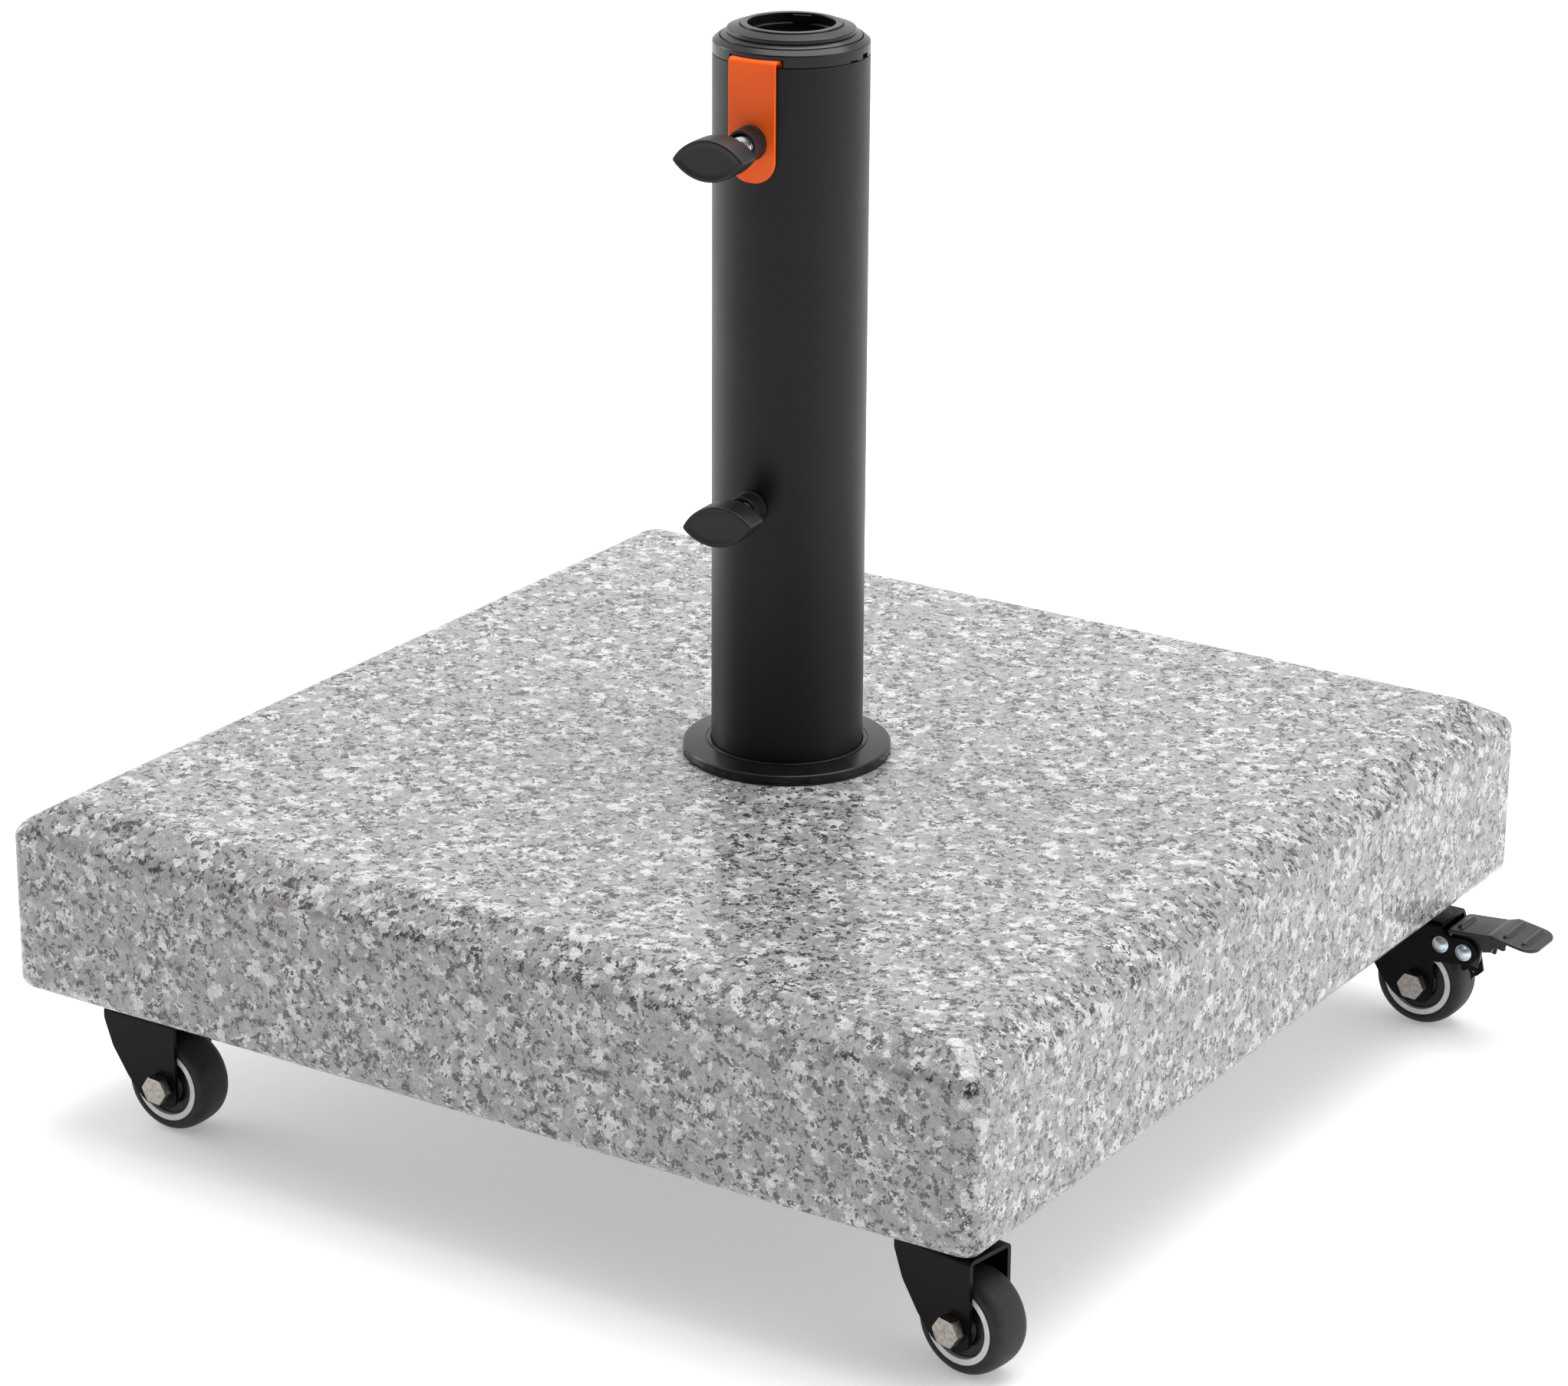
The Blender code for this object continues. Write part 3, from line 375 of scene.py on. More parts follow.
def powder_coat():
    """Black coat with the fine orange peel of baked powder."""
    made, tree, shader = blank("black_powder_coat", Specular_IOR_Level=0.29)
    spot = millimetres(tree)
    peel = noise(tree, spot, 0.42, 3.0, 0.6)
    drift = noise(tree, spot, 45.0, 2.0)
    tone = ramp(tree, swing(tree, peel), [(0.0, colour(0.0022, 0.0022, 0.0024)),
                                          (1.0, colour(0.0062, 0.0062, 0.0067))])
    rough = arithmetic(tree, "ADD", swing(tree, drift, 0.38, 0.44), swing(tree, peel, 0.0, 0.04))
    wire(tree, shader, Base_Color=tone, Roughness=rough, Normal=bump(tree, peel, 0.55, 0.05))
    return made


def moulded_plastic(name, tone, rough, grain=0.30):
    """Black plastic with a fine spark-eroded grain and slight flow marks."""
    made, tree, shader = blank(name, Specular_IOR_Level=0.36)
    spot = millimetres(tree)
    fine = noise(tree, spot, grain, 2.0, 0.6)
    flow = noise(tree, spot, 11.0, 3.0)
    shade = swing(tree, flow)
    base = mixed(tree, shade, colour(tone * 0.85, tone * 0.85, tone * 0.88),
                 colour(tone * 1.2, tone * 1.2, tone * 1.24))
    roughness = arithmetic(tree, "ADD", swing(tree, flow, rough - 0.04, rough + 0.04),
                           swing(tree, fine, -0.02, 0.03))
    wire(tree, shader, Base_Color=base, Roughness=roughness, Normal=bump(tree, fine, 0.25, 0.02))
    return made


def orange_paint():
    """Satin orange paint with a slight orange peel."""
    made, tree, shader = blank("orange_paint", Specular_IOR_Level=0.22)
    spot = millimetres(tree)
    peel = noise(tree, spot, 1.1, 2.0)
    drift = noise(tree, spot, 16.0, 2.0)
    base = mixed(tree, swing(tree, drift), colour(0.94, 0.112, 0.008), colour(0.99, 0.136, 0.014))
    rough = swing(tree, peel, 0.30, 0.38)
    wire(tree, shader, Base_Color=base, Roughness=rough, Normal=bump(tree, peel, 0.12, 0.03))
    return made


def bare_steel():
    """Dull nickel-plated steel with a slightly warm, brushed and stained face."""
    made, tree, shader = blank("nickel_steel", Metallic=1.0)
    spot = millimetres(tree)
    stain = noise(tree, spot, 1.6, 3.0, 0.6)
    stretched = node(tree, "ShaderNodeMapping", {"Vector": spot, "Scale": (1.0, 1.0, 0.12)}).outputs[0]
    scratch = noise(tree, stretched, 0.22, 2.0)
    base = mixed(tree, swing(tree, stain), colour(0.29, 0.265, 0.24), colour(0.50, 0.47, 0.435))
    rough = arithmetic(tree, "ADD", swing(tree, stain, 0.26, 0.40), swing(tree, scratch, -0.04, 0.06))
    wire(tree, shader, Base_Color=base, Roughness=rough, Normal=bump(tree, scratch, 0.15, 0.015))
    return made


def thread_steel():
    """Bright steel of the rolled threads."""
    made, tree, shader = blank("thread_steel", Metallic=1.0)
    spot = millimetres(tree)
    stain = noise(tree, spot, 0.9, 3.0, 0.6)
    base = mixed(tree, swing(tree, stain), colour(0.60, 0.59, 0.57), colour(0.82, 0.81, 0.79))
    wire(tree, shader, Base_Color=base, Roughness=swing(tree, stain, 0.16, 0.28))
    return made


def zinc():
    """Blue-passivated zinc plating."""
    made, tree, shader = blank("blue_zinc", Metallic=1.0)
    spot = millimetres(tree)
    film = noise(tree, spot, 2.2, 3.0, 0.6)
    base = mixed(tree, swing(tree, film), colour(0.46, 0.56, 0.62), colour(0.66, 0.73, 0.78))
    rough = swing(tree, noise(tree, spot, 0.5, 2.0), 0.30, 0.42)
    wire(tree, shader, Base_Color=base, Roughness=rough, Normal=bump(tree, film, 0.08, 0.02))
    return made


def black_steel(name, tone, rough, gloss):
    """Stamped sheet with a thin black coat: a little uneven, with paler worn spots."""
    made, tree, shader = blank(name, Specular_IOR_Level=gloss)
    spot = millimetres(tree)
    cloud = noise(tree, spot, 9.0, 3.0, 0.6)
    dust = noise(tree, spot, 0.7, 3.0, 0.7)
    base = mixed(tree, swing(tree, cloud), colour(tone * 0.8, tone * 0.8, tone * 0.82),
                 colour(tone * 1.25, tone * 1.25, tone * 1.27))
    base = mixed(tree, spread(tree, dust, 0.70, 0.78, 0.0, 0.35), base, colour(0.10, 0.10, 0.10))
    roughness = swing(tree, cloud, rough - 0.05, rough + 0.06)
    wire(tree, shader, Base_Color=base, Roughness=roughness, Normal=bump(tree, cloud, 0.10, 0.06))
    return made


def tyre_rubber():
    """Dark rubber with paler dust in soft patches."""
    made, tree, shader = blank("tyre_rubber", Specular_IOR_Level=0.32)
    spot = millimetres(tree)
    dust = noise(tree, spot, 5.0, 4.0, 0.65)
    fine = noise(tree, spot, 0.35, 2.0)
    base = mixed(tree, spread(tree, dust, 0.35, 0.72), colour(0.0115, 0.0115, 0.0120),
                 colour(0.0290, 0.0290, 0.0300))
    rough = swing(tree, dust, 0.50, 0.62)
    wire(tree, shader, Base_Color=base, Roughness=rough, Normal=bump(tree, fine, 0.20, 0.03))
    return made


def rim_plastic():
    """Pale grey plastic, slightly cloudy."""
    made, tree, shader = blank("pale_grey_plastic")
    spot = millimetres(tree)
    cloud = noise(tree, spot, 4.0, 3.0, 0.6)
    fine = noise(tree, spot, 0.3, 2.0)
    base = mixed(tree, swing(tree, cloud), colour(0.68, 0.68, 0.665), colour(0.80, 0.80, 0.785))
    rough = swing(tree, cloud, 0.38, 0.48)
    wire(tree, shader, Base_Color=base, Roughness=rough, Normal=bump(tree, fine, 0.10, 0.02))
    return made


def gasket_rubber():
    """Matt black sheet rubber."""
    made, tree, shader = blank("gasket_rubber")
    spot = millimetres(tree)
    fine = noise(tree, spot, 0.5, 3.0, 0.7)
    base = mixed(tree, swing(tree, fine), colour(0.012, 0.012, 0.012), colour(0.028, 0.028, 0.027))
    rough = swing(tree, fine, 0.72, 0.85)
    wire(tree, shader, Base_Color=base, Roughness=rough, Normal=bump(tree, fine, 0.3, 0.05))
    return made


FINISHES = {
    "granite": granite(),
    "powder_coat": powder_coat(),
    "cap_plastic": moulded_plastic("satin_black_plastic", 0.0065, 0.25),
    "knob_plastic": moulded_plastic("matt_black_plastic", 0.0075, 0.42, 0.35),
    "orange_paint": orange_paint(),
    "steel": bare_steel(),
    "thread": thread_steel(),
    "zinc": zinc(),
    "black_steel": black_steel("black_steel", 0.0032, 0.26, 0.11),
    "pedal_steel": black_steel("pedal_steel", 0.0100, 0.24, 0.50),
    "tyre": tyre_rubber(),
    "rim": rim_plastic(),
    "rubber": gasket_rubber(),
}


def show(name, mesh, finish, body, nodes, where=None):
    """One visible piece: it rides on a body and stands for the CAD nodes it is modelled on."""
    if not mesh.materials:
        mesh.materials.append(FINISHES[finish])
    piece = bpy.data.objects.new(name, mesh)
    bpy.context.scene.collection.objects.link(piece)
    if where is not None:
        piece.matrix_world = where
    normals = piece.modifiers.new("normals", "WEIGHTED_NORMAL")
    normals.keep_sharp = True
    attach(piece, body)
    if nodes:
        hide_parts(*([nodes] if isinstance(nodes, str) else nodes))
    return piece


def at(offset=(0, 0, 0), turn=0.0, tilt=0.0):
    """A placement: tilt about Y, then turn about Z, then shift, in millimetres."""
    return (Matrix.Translation(Vector(offset) * MM) @ Matrix.Rotation(turn, 4, "Z")
            @ Matrix.Rotation(tilt, 4, "Y"))


COLUMN = at(turn=CLAMP_TURN)


# Slab and its fixing

def slab():
    """The block with a rounded foot and a rounded chamfer, a bore and a shallow seat for the ring."""
    chamfer, side_height = 19.0, 86.0
    foot_radius, edge_radius, corner_radius = 8.0, 10.0, 7.0
    middle = SLAB_SIDE / 2
    side = [(17.0, 0), (0, 0), (0, side_height)]
    top = [(chamfer, SLAB_THICKNESS), (middle, SLAB_THICKNESS), (middle, 0)]
    profile = rounded(side + top, [0, foot_radius, edge_radius, edge_radius, 0, 0], 9)[:-2]
    sections = []
    for inset, height in profile:
        outline = rectangle(middle - inset, middle - inset, corner_radius, 8)
        sections.append([(x, y, SLAB_UNDERSIDE + height) for x, y in outline])
    mesh = lofted("slab", sections, 30.0)
    bore_radius, seat_radius, seat = 7.2, 52.5, SLAB_TOP - 0.5
    bore = spun("bore", [(0, 60), (bore_radius, 60), (bore_radius, seat), (seat_radius, seat),
                         (seat_radius, 190), (0, 190)], 160)
    return cut(mesh, bore)


def rosette():
    """The cover ring: a shallow cone with a groove and a lip round the tube."""
    profile = rounded([
        (50.5, 172.9), (52.3, 172.9), (52.3, 176.2), (51.7, 176.8), (40.9, 178.05), (40.7, 177.75),
        (40.3, 177.75), (40.2, 178.6), (38.3, 178.6), (38.3, 176.6), (50.5, 176.3),
    ], [0.2, 0.3, 0.4, 0.4, 0.1, 0, 0, 0.35, 0.3, 0, 0], 4)
    return spun("rosette", profile, 160)


def build_slab():
    show("polished_slab", slab(), "granite", "base", "granite_slab")
    show("foot_rosette", rosette(), "cap_plastic", "base", "cover_ring")
    gasket = rounded([(9.0, 171.3), (51.9, 171.3), (51.9, 172.6), (9.0, 172.6)], 0.3, 3)
    show("foot_seal", spun("seal", gasket, 128), "rubber", "base", "foot_gasket")
    plate = rounded([
        (6.5, 172.9), (46, 172.9), (46, 175.9), (35.6, 175.9),
        (35.6, 177.9), (12, 177.9), (12, 185.5), (6.5, 185.5),
    ], [0.3, 0.5, 0.5, 0, 0.5, 0.8, 0.8, 0.6], 4)
    show("foot_disc", spun("disc", plate, 96), "steel", "base", "foot_plate")
    washer = rounded([(6.6, PLATE_LOW), (18, PLATE_LOW), (18, PLATE_TOP), (6.6, PLATE_TOP)], 0.4, 3)
    show("anchor_disc", spun("washer", washer, 64), "zinc", "base", "anchor_washer")
    head = moved(hexagon("hex", 11.0, -70.4, -62.9, 1.2), turn=math.pi, axis="Y")
    head = moved(head, turn=math.radians(12))
    stud = screw_thread("stud", 6.0, 70.0, 186.5, 1.75)
    show("anchor_stud", together("anchor", [head, stud]), "steel", "base", "anchor_bolt")


# Fasteners

def hexagon(name, corner, low, high, chamfer):
    """A hexagonal head along Z whose corners are turned off at its upper end."""
    prism = drawn(name, arc((0, 0), corner, 0, 300, 5), low, high, "Z")
    wide, below = corner + 1, low - 1
    foot = high - (1 + chamfer) * math.tan(math.radians(30))
    cone = spun("cone", [(0, below), (wide, below), (wide, foot), (corner - chamfer, high), (0, high)], 96)
    return bevelled(combined(prism, cone, "INTERSECT"), 0.12, 2, 25)


def screw_thread(name, radius, low, high, pitch, sides=48, steps=12):
    """A right-handed thread about Z with rounded crests; both ends run out to the core."""
    depth = 0.58 * pitch
    count = max(2, round((high - low) / pitch * steps))
    rings = []
    for ring in range(count + 1):
        height = low + (high - low) * ring / count
        fade = min(1.0, min(height - low, high - height) / (0.9 * pitch))
        spots = []
        for side in range(sides):
            turn = side / sides
            phase = (height / pitch - turn) % 1.0
            crest = min(1.0, max(0.0, (abs(2 * phase - 1) - 0.10) / 0.78))
            crest = crest * crest * (3 - 2 * crest) * 0.5 + crest * 0.5
            reach = radius - depth + depth * crest * fade
            angle = 2 * math.pi * turn
            spots.append((reach * math.cos(angle), reach * math.sin(angle), height))
        rings.append(spots)
    return lofted(name, rings, 60.0)


# Column and its head

def column():
    """The tube, with a hole for each screw's bush."""
    low, high, wall = SLAB_TOP + 4.7, SLAB_TOP + 357.1, 2.0
    inner, outer = COLUMN_RADIUS - wall, COLUMN_RADIUS
    tube = spun("tube", rounded([(inner, low), (outer, low), (outer, high), (inner, high)], 0.4, 3), 160)
    for height in (UPPER_SCREW, LOWER_SCREW):
        hole = rod("hole", BUSH_HOLE, 20, 60, 64, "Y")
        tube = cut(tube, moved(hole, (0, 0, height)))
    return smoothed(tube, 38)


def head_cap():
    """The cap, with a notch for the tongue, a latch hole and a slit."""
    top = SLAB_TOP
    cap = spun("cap", rounded([
        (33.1, top + 340), (35.5, top + 340), (35.5, top + 357.4), (38.0, top + 357.4), (38.0, top + 363.1),
        (35.1, top + 365.4), (34.5, top + 365.1), (34.5, top + 361.2), (33.1, top + 361.2),
    ], [0.3, 0.5, 0.2, 0.25, 1.1, 0.4, 0.25, 0.1, 0.3], 4), 192)
    notch = drawn("notch", rectangle(14.5, 12.0, 0.4), top + 330, top + 361.3, "Z")
    cap = cut(cap, moved(notch, (0, -36, 0)))
    latch = drawn("latch", rectangle(3.0, 2.6), top + 356.0, top + 359.7, "Z")
    cap = cut(cap, moved(moved(latch, (0, -38, 0)), turn=math.radians(96.0)))
    slit = drawn("slit", arc((0, 0), 34, -4, 4, 4) + arc((0, 0), 40, 4, -4, 4), top + 356.0, top + 358.1, "Z")
    cap = cut(cap, moved(slit, turn=math.radians(-10.0)))
    return bevelled(cap, 0.18, 2, 50)


def liner():
    """The ring set into the cap."""
    top = SLAB_TOP
    return spun("liner", rounded([
        (30.6, top + 361.5), (34.1, top + 361.5), (34.1, top + 365.7),
        (31.2, top + 366.9), (30.6, top + 366.9),
    ], [0.2, 0.2, 0.5, 0.3, 0.2], 4), 192)


def slitted(sleeve, low, high):
    """A sleeve with a slit up each side."""
    for turn in (0.0, math.pi):
        slit = drawn("slit", rectangle(12, 1.5), low - 5, high, "Z")
        sleeve = cut(sleeve, moved(moved(slit, (27, 0, 0)), turn=turn))
    return sleeve


def large_reducer():
    """Outer sleeve, whose rim rests on the cap's ring."""
    top = SLAB_TOP
    sleeve = spun("large", rounded([
        (24.1, top + 277), (30.2, top + 277), (30.2, top + 367.2), (31.15, top + 367.2), (31.15, top + 369.1),
        (25.4, top + 370.8), (24.9, top + 370.5), (24.9, top + 368.8), (24.1, top + 368.8),
    ], [0.4, 1.0, 0.15, 0.2, 0.7, 0.35, 0.2, 0.1, 0.2], 4), 192)
    return slitted(sleeve, top + 277, top + 341)


def small_reducer():
    """Inner sleeve, whose rim rests in the outer one."""
    top = SLAB_TOP
    sleeve = spun("small", rounded([
        (19.9, top + 285), (23.7, top + 285), (23.7, top + 369.1), (24.6, top + 369.1), (24.6, top + 371.5),
        (21.2, top + 371.5), (21.2, top + 366.5), (19.9, top + 366.5),
    ], [0.4, 1.0, 0.15, 0.2, 0.6, 0.6, 0.2, 0.3], 4), 192)
    return slitted(sleeve, top + 285, top + 341)


def clip_tab():
    """The small moulded clip on the back of the socket's wall."""
    outline = rounded([(-4.9, SLAB_TOP + 366.6), (4.9, SLAB_TOP + 366.6), (4.9, SLAB_TOP + 370.6),
                       (-4.9, SLAB_TOP + 370.6)], [0.6, 0.6, 0.8, 0.8], 3)
    return bevelled(drawn("tab", outline, 19.4, 21.6, "Y"), 0.3, 2)


def tongue():
    """Strip hooked over the rim: a rounded outer leg with the bush's hole, and a straight inner leg."""
    top, face = SLAB_TOP, -TONGUE_FACE
    outer = [(-31.7, top + 300), (-31.7, top + 360.9), (face, top + 360.9), (face, top + 301.2)]
    inner = [(-38.3, top + 301.2), (-38.3, top + 359.2), (-33.4, top + 359.2), (-33.4, top + 300)]
    strip = drawn("tongue", rounded(outer + inner, [0, 2.6, 2.6, 0, 0, 0.9, 0.9, 0], 8), -12.5, 12.5, "X")
    front_view = rounded([(-12.5, top + 301.2), (12.5, top + 301.2), (12.5, top + 361), (-12.5, top + 361)],
                         [11.5, 11.5, 0, 0], 14)
    waste = drawn("waste", rectangle(14, 3), top + 290, top + 312.7, "Z")
    corners = cut(moved(waste, (0, -40, 0)), drawn("front_view", front_view, -50, -30, "Y"))
    strip = cut(strip, corners)
    strip = cut(strip, moved(rod("hole", BUSH_HOLE, 36, 44, 48, "Y"), (0, 0, UPPER_SCREW)))
    return bevelled(strip, 0.35, 3, 50)


def bush(outside):
    """Collar outside the column: a base flange, a barrel and a wide mouth round the bore."""
    seat = outside + 0.3
    end = seat + 10.0
    profile = rounded([
        (5.3, 36.3), (6.1, 36.3), (6.1, seat), (8.6, seat), (8.6, seat + 1.3), (8.15, seat + 1.6),
        (8.15, end), (6.7, end), (6.5, end - 1.2), (6.5, end - 5.0), (5.3, end - 5.8),
    ], [0, 0.2, 0, 0.3, 0.3, 0.2, 0.9, 0.4, 0.3, 0, 0], 4)
    return spun("bush", profile, 96, "Y")


def build_column():
    show("coated_tube", column(), "powder_coat", "base", "column_tube", COLUMN)
    show("head_cap", head_cap(), "cap_plastic", "base", "top_cap", COLUMN)
    show("head_liner", liner(), "cap_plastic", "base", "cap_insert", COLUMN)
    show("outer_reducer", large_reducer(), "cap_plastic", "large_reducer", "reducer_large", COLUMN)
    show("inner_reducer", small_reducer(), "cap_plastic", "small_reducer", "reducer_small", COLUMN)
    show("socket_clip", clip_tab(), "cap_plastic", "small_reducer", (), at(turn=math.radians(18.0)))
    show("orange_tongue", tongue(), "orange_paint", "base", "clamp_tongue", COLUMN)
    for name, outside, height in (("upper", TONGUE_FACE, UPPER_SCREW), ("lower", COLUMN_RADIUS, LOWER_SCREW)):
        where = COLUMN @ at((0, 0, height))
        finish = "knob_plastic" if name == "upper" else "powder_coat"
        show(name + "_collar", bush(outside), finish, "base", name + "_nut_bush", where)


# Hand screws: the knob's face is at Y = 0 and the screw runs to +Y

def lens(inset, tip_radius):
    """Pointed oval outline, inset all round, with rounded tips."""
    length, height, steps = 19.3, 10.4, 18
    radius = (length ** 2 + height ** 2) / (2 * height)
    offset = radius - height
    reach = math.sqrt((radius - inset - tip_radius) ** 2 - offset ** 2)
    lean = math.degrees(math.atan2(offset, reach))
    outline = arc((reach, 0), tip_radius, -lean, lean, 6)[:-1]
    outline += arc((0, -offset), radius - inset, lean, 180 - lean, steps)[:-1]
    outline += arc((-reach, 0), tip_radius, 180 - lean, 180 + lean, 6)[:-1]
    outline += arc((0, offset), radius - inset, 180 + lean, 360 - lean, steps)[:-1]
    return outline


def knob():
    """Oval grip with a dished face, rounded edges and a round neck."""
    depth, face_radius, back_radius = 15.5, 0.9, 2.4
    # Each ring: its depth behind the face, the inset of its outline and the radius of the tips
    rings = [(0.55, 4.4, 0.5), (0.30, 3.0, 0.6), (0.06, 1.9, 0.8), (0.0, 1.35, 1.0)]
    for step in range(1, 5):
        angle = math.radians(22.5 * step)
        rings.append((face_radius * (1 - math.cos(angle)), face_radius * (1 - math.sin(angle)) + 0.15, 1.5))
    rings += [(4.0, 0.05, 1.6), (8.0, 0.0, 1.7), (12.0, 0.1, 1.8)]
    for step in range(5):
        angle = math.radians(22.5 * step)
        behind = depth - back_radius + back_radius * math.sin(angle)
        rings.append((behind, 0.15 + back_radius * (1 - math.cos(angle)), 1.9))
    sections = [[(x, behind, z) for x, z in lens(inset, tip)] for behind, inset, tip in rings]
    grip = lofted("grip", sections, 60.0)
    neck = rounded([(0, -23.2), (7.2, -23.2), (7.2, -16.4), (8.6, -15.3), (8.6, -13.5), (0, -13.5)],
                   [0, 0.7, 1.2, 0.2, 0, 0], 5)
    grip = combined(grip, spun("neck", neck, 72, "Y"), "UNION")
    return smoothed(cut(grip, rod("bore", 5.2, -28, -5, 48, "Y")), 45)


def hand_screw():
    return moved(screw_thread("thread", 4.9, -44.0, -5.5, 1.5), turn=math.pi / 2, axis="X")


def screw_pad():
    profile = rounded([(0, -47.3), (3.3, -47.3), (3.3, -44.3), (0, -44.3)], [0, 0.7, 0.3, 0], 4)
    return spun("pad", profile, 48, "Y")


def build_hand_screws():
    grip, screw, pad = knob(), hand_screw(), screw_pad()
    for name, face, height, tilt in (("upper", 83.0, UPPER_SCREW, 3.8), ("lower", 74.0, LOWER_SCREW, 9.5)):
        where = COLUMN @ at((0, -face, height), tilt=-math.radians(tilt))
        show(name + "_grip", grip, "knob_plastic", name + "_hand_screw", name + "_knob", where)
        show(name + "_thread", screw, "thread", name + "_hand_screw", name + "_screw", where)
        show(name + "_pad", pad, "knob_plastic", name + "_pad", name + "_pressure_pad", where)


# Casters: origin on the floor under the kingpin, X along the trail

PEDAL_PIVOT = (47.6, 48.6)
SHOE_PIVOT = (34.4, 50.2)
BOLT_SEAT = 14.8    # where heads, nuts and rivets start, on either side of the fork


def cross_head():
    """The head of one screw under a plate, with a cross cut into it."""
    low = PLATE_LOW
    head = spun("head", rounded([
        (0, low - 2.6), (3.2, low - 2.6), (4.8, low - 0.9), (4.8, low - 0.05), (0, low - 0.05),
    ], [0, 0.8, 0.3, 0.2, 0], 4), 36)
    for turn in (0.0, math.pi / 2):
        slot = drawn("slot", rectangle(2.6, 0.45), low - 3.0, low - 1.5, "Z")
        head = cut(head, moved(slot, turn=turn))
    return head


def plate_and_pin():
    """A plate with its kingpin, and the four screw heads, each turned its own way."""
    low = PLATE_LOW
    plate = bevelled(drawn("plate", rectangle(27, 27, 5, 8), low, PLATE_TOP, "Z"), 0.5, 3)
    pin = spun("pin", rounded([
        (0, 56.6), (7.5, 56.6), (8.5, 57.8), (8.5, 58.6), (5, 58.6), (5, low - 2.2), (16, low - 2.2),
        (17.5, low + 0.5), (0, low + 0.5),
    ], [0, 0.8, 0.3, 0.2, 0, 0, 0.9, 0, 0], 5), 72)
    heads = []
    for x in (-20, 20):
        for y in (-20, 20):
            heads.append(moved(cross_head(), (x, y, 0), turn=0.6 * x + 0.2 * y))
    return together("plate", [plate, pin]), together("heads", heads)


def cheek_outline(braked):
    """Side view of the fork; the braked one has a lug round the pedal's rivet."""
    rear = [(-14, 61.2), (-14, 54.5), (-9.0, 40.5), (0.4, 26.2), (8.5, 17.2)]
    rear = rounded(rear, [0, 3.0, 14.0, 20.0, 0], 5)
    foot = arc((14.0, 20.5), 5.8, 225, 270, 6) + arc((24.5, 20.5), 5.8, 270, 360, 10)
    if not braked:
        return rear + foot + [(30.3, 61.2)]
    lug = [(30.3, 39.5)] + arc(PEDAL_PIVOT, 7.0, -96, 84, 20)
    return rear + foot + lug + [(39.0, 55.3), (35.2, 56.2), (33.8, 61.2)]


def swivel_fork(braked):
    """A bent sheet cut to the cheeks' outline, with the race on top and holes for its pins."""
    half, inner, top = 14.5, 12.3, 61.2
    under = top - 2.2
    section = rounded([
        (-half, 0), (-half, top), (half, top), (half, 0),
        (inner, 0), (inner, under), (-inner, under), (-inner, 0),
    ], [0, 3.2, 3.2, 0, 0, 1.0, 1.0, 0], 7)
    cheeks = drawn("cheeks", cheek_outline(braked), -30, 30, "Y")
    body = combined(drawn("fork", section, -30, 70, "X"), cheeks, "INTERSECT")
    race = spun("race", rounded([(0, 60.2), (14, 60.2), (14, 65.1), (12, 68.1), (0, 68.1)],
                                [0, 0, 1.0, 1.0, 0], 5), 72)
    body = combined(body, race, "UNION")
    body = cut(body, rod("kingpin_hole", 5.6, 50, 80, 48))
    body = cut(body, moved(rod("axle_hole", 4.4, -30, 30, 48, "Y"), (TRAIL, 0, WHEEL_RADIUS)))
    if braked:
        for x, z in (SHOE_PIVOT, PEDAL_PIVOT):
            body = cut(body, moved(rod("rivet_hole", RIVET_BORE, -30, 30, 32, "Y"), (x, 0, z)))
    return bevelled(body, 0.30, 2, 40)


def rivet():
    """A rivet through both cheeks, with a domed head on each side."""
    half = [(2.0, BOLT_SEAT), (4.5, BOLT_SEAT)] + arc((0, 12.6), 4.62, 31, 90, 7)
    return spun("rivet", both_sides(half), 48, "Y", 50)


def axle_bolt():
    """Head towards -Y, with a shank that ends in a thread past the nut."""
    head = moved(hexagon("head", 7.5, BOLT_SEAT, 20.1, 0.5), turn=math.pi / 2, axis="X")
    head = moved(head, turn=math.radians(4), axis="Y")
    shank = rod("shank", 4.0, -15.0, 15.0, 36, "Y")
    thread = moved(screw_thread("thread", 4.0, -22.6, -14.9, 1.25, 36, 10), turn=math.pi / 2, axis="X")
    return together("axle", [head, shank, thread])


def axle_nut():
    """Nut towards +Y, with its turned-off corners outwards."""
    far = 21.3
    nut = moved(hexagon("nut", 7.5, -far, -BOLT_SEAT, 1.0), turn=math.pi, axis="Y")
    nut = moved(nut, (0, 0, -far - BOLT_SEAT))
    nut = cut(nut, rod("bore", 4.3, -30, -10, 36))
    return moved(nut, turn=math.pi / 2, axis="X")


def wheel_core():
    """The wheel's web and the pale ring inside the tyre."""
    half = rounded([(4.4, 0), (4.4, 7.9), (15.6, 7.9), (15.75, 11.1), (18.7, 11.1), (18.7, 0)],
                   [0, 0.2, 0.3, 0.3, 0.15, 0], 4)
    return spun("core", both_sides(half[1:-1]), 96, "Y")


def tyre():
    """Solid rubber tyre with a rounded crown and a fine groove beside the rim."""
    side, inner, shoulder, power = 11.2, 18.9, 19.2, 3.0
    half = [(inner, side - 0.25), (19.3, side - 0.1), (19.6, side - 0.3), (19.9, side - 0.1)]
    for step in range(21):
        across = side * math.cos(math.radians(4 + 86 * step / 21))
        rise = (1 - (across / side) ** power) ** (1 / power)
        radius = shoulder + (WHEEL_RADIUS - shoulder) * rise
        if radius > 20.3:
            half.append((radius, across - 0.02))
    return spun("tyre", both_sides(half), 144, "Y", 50)


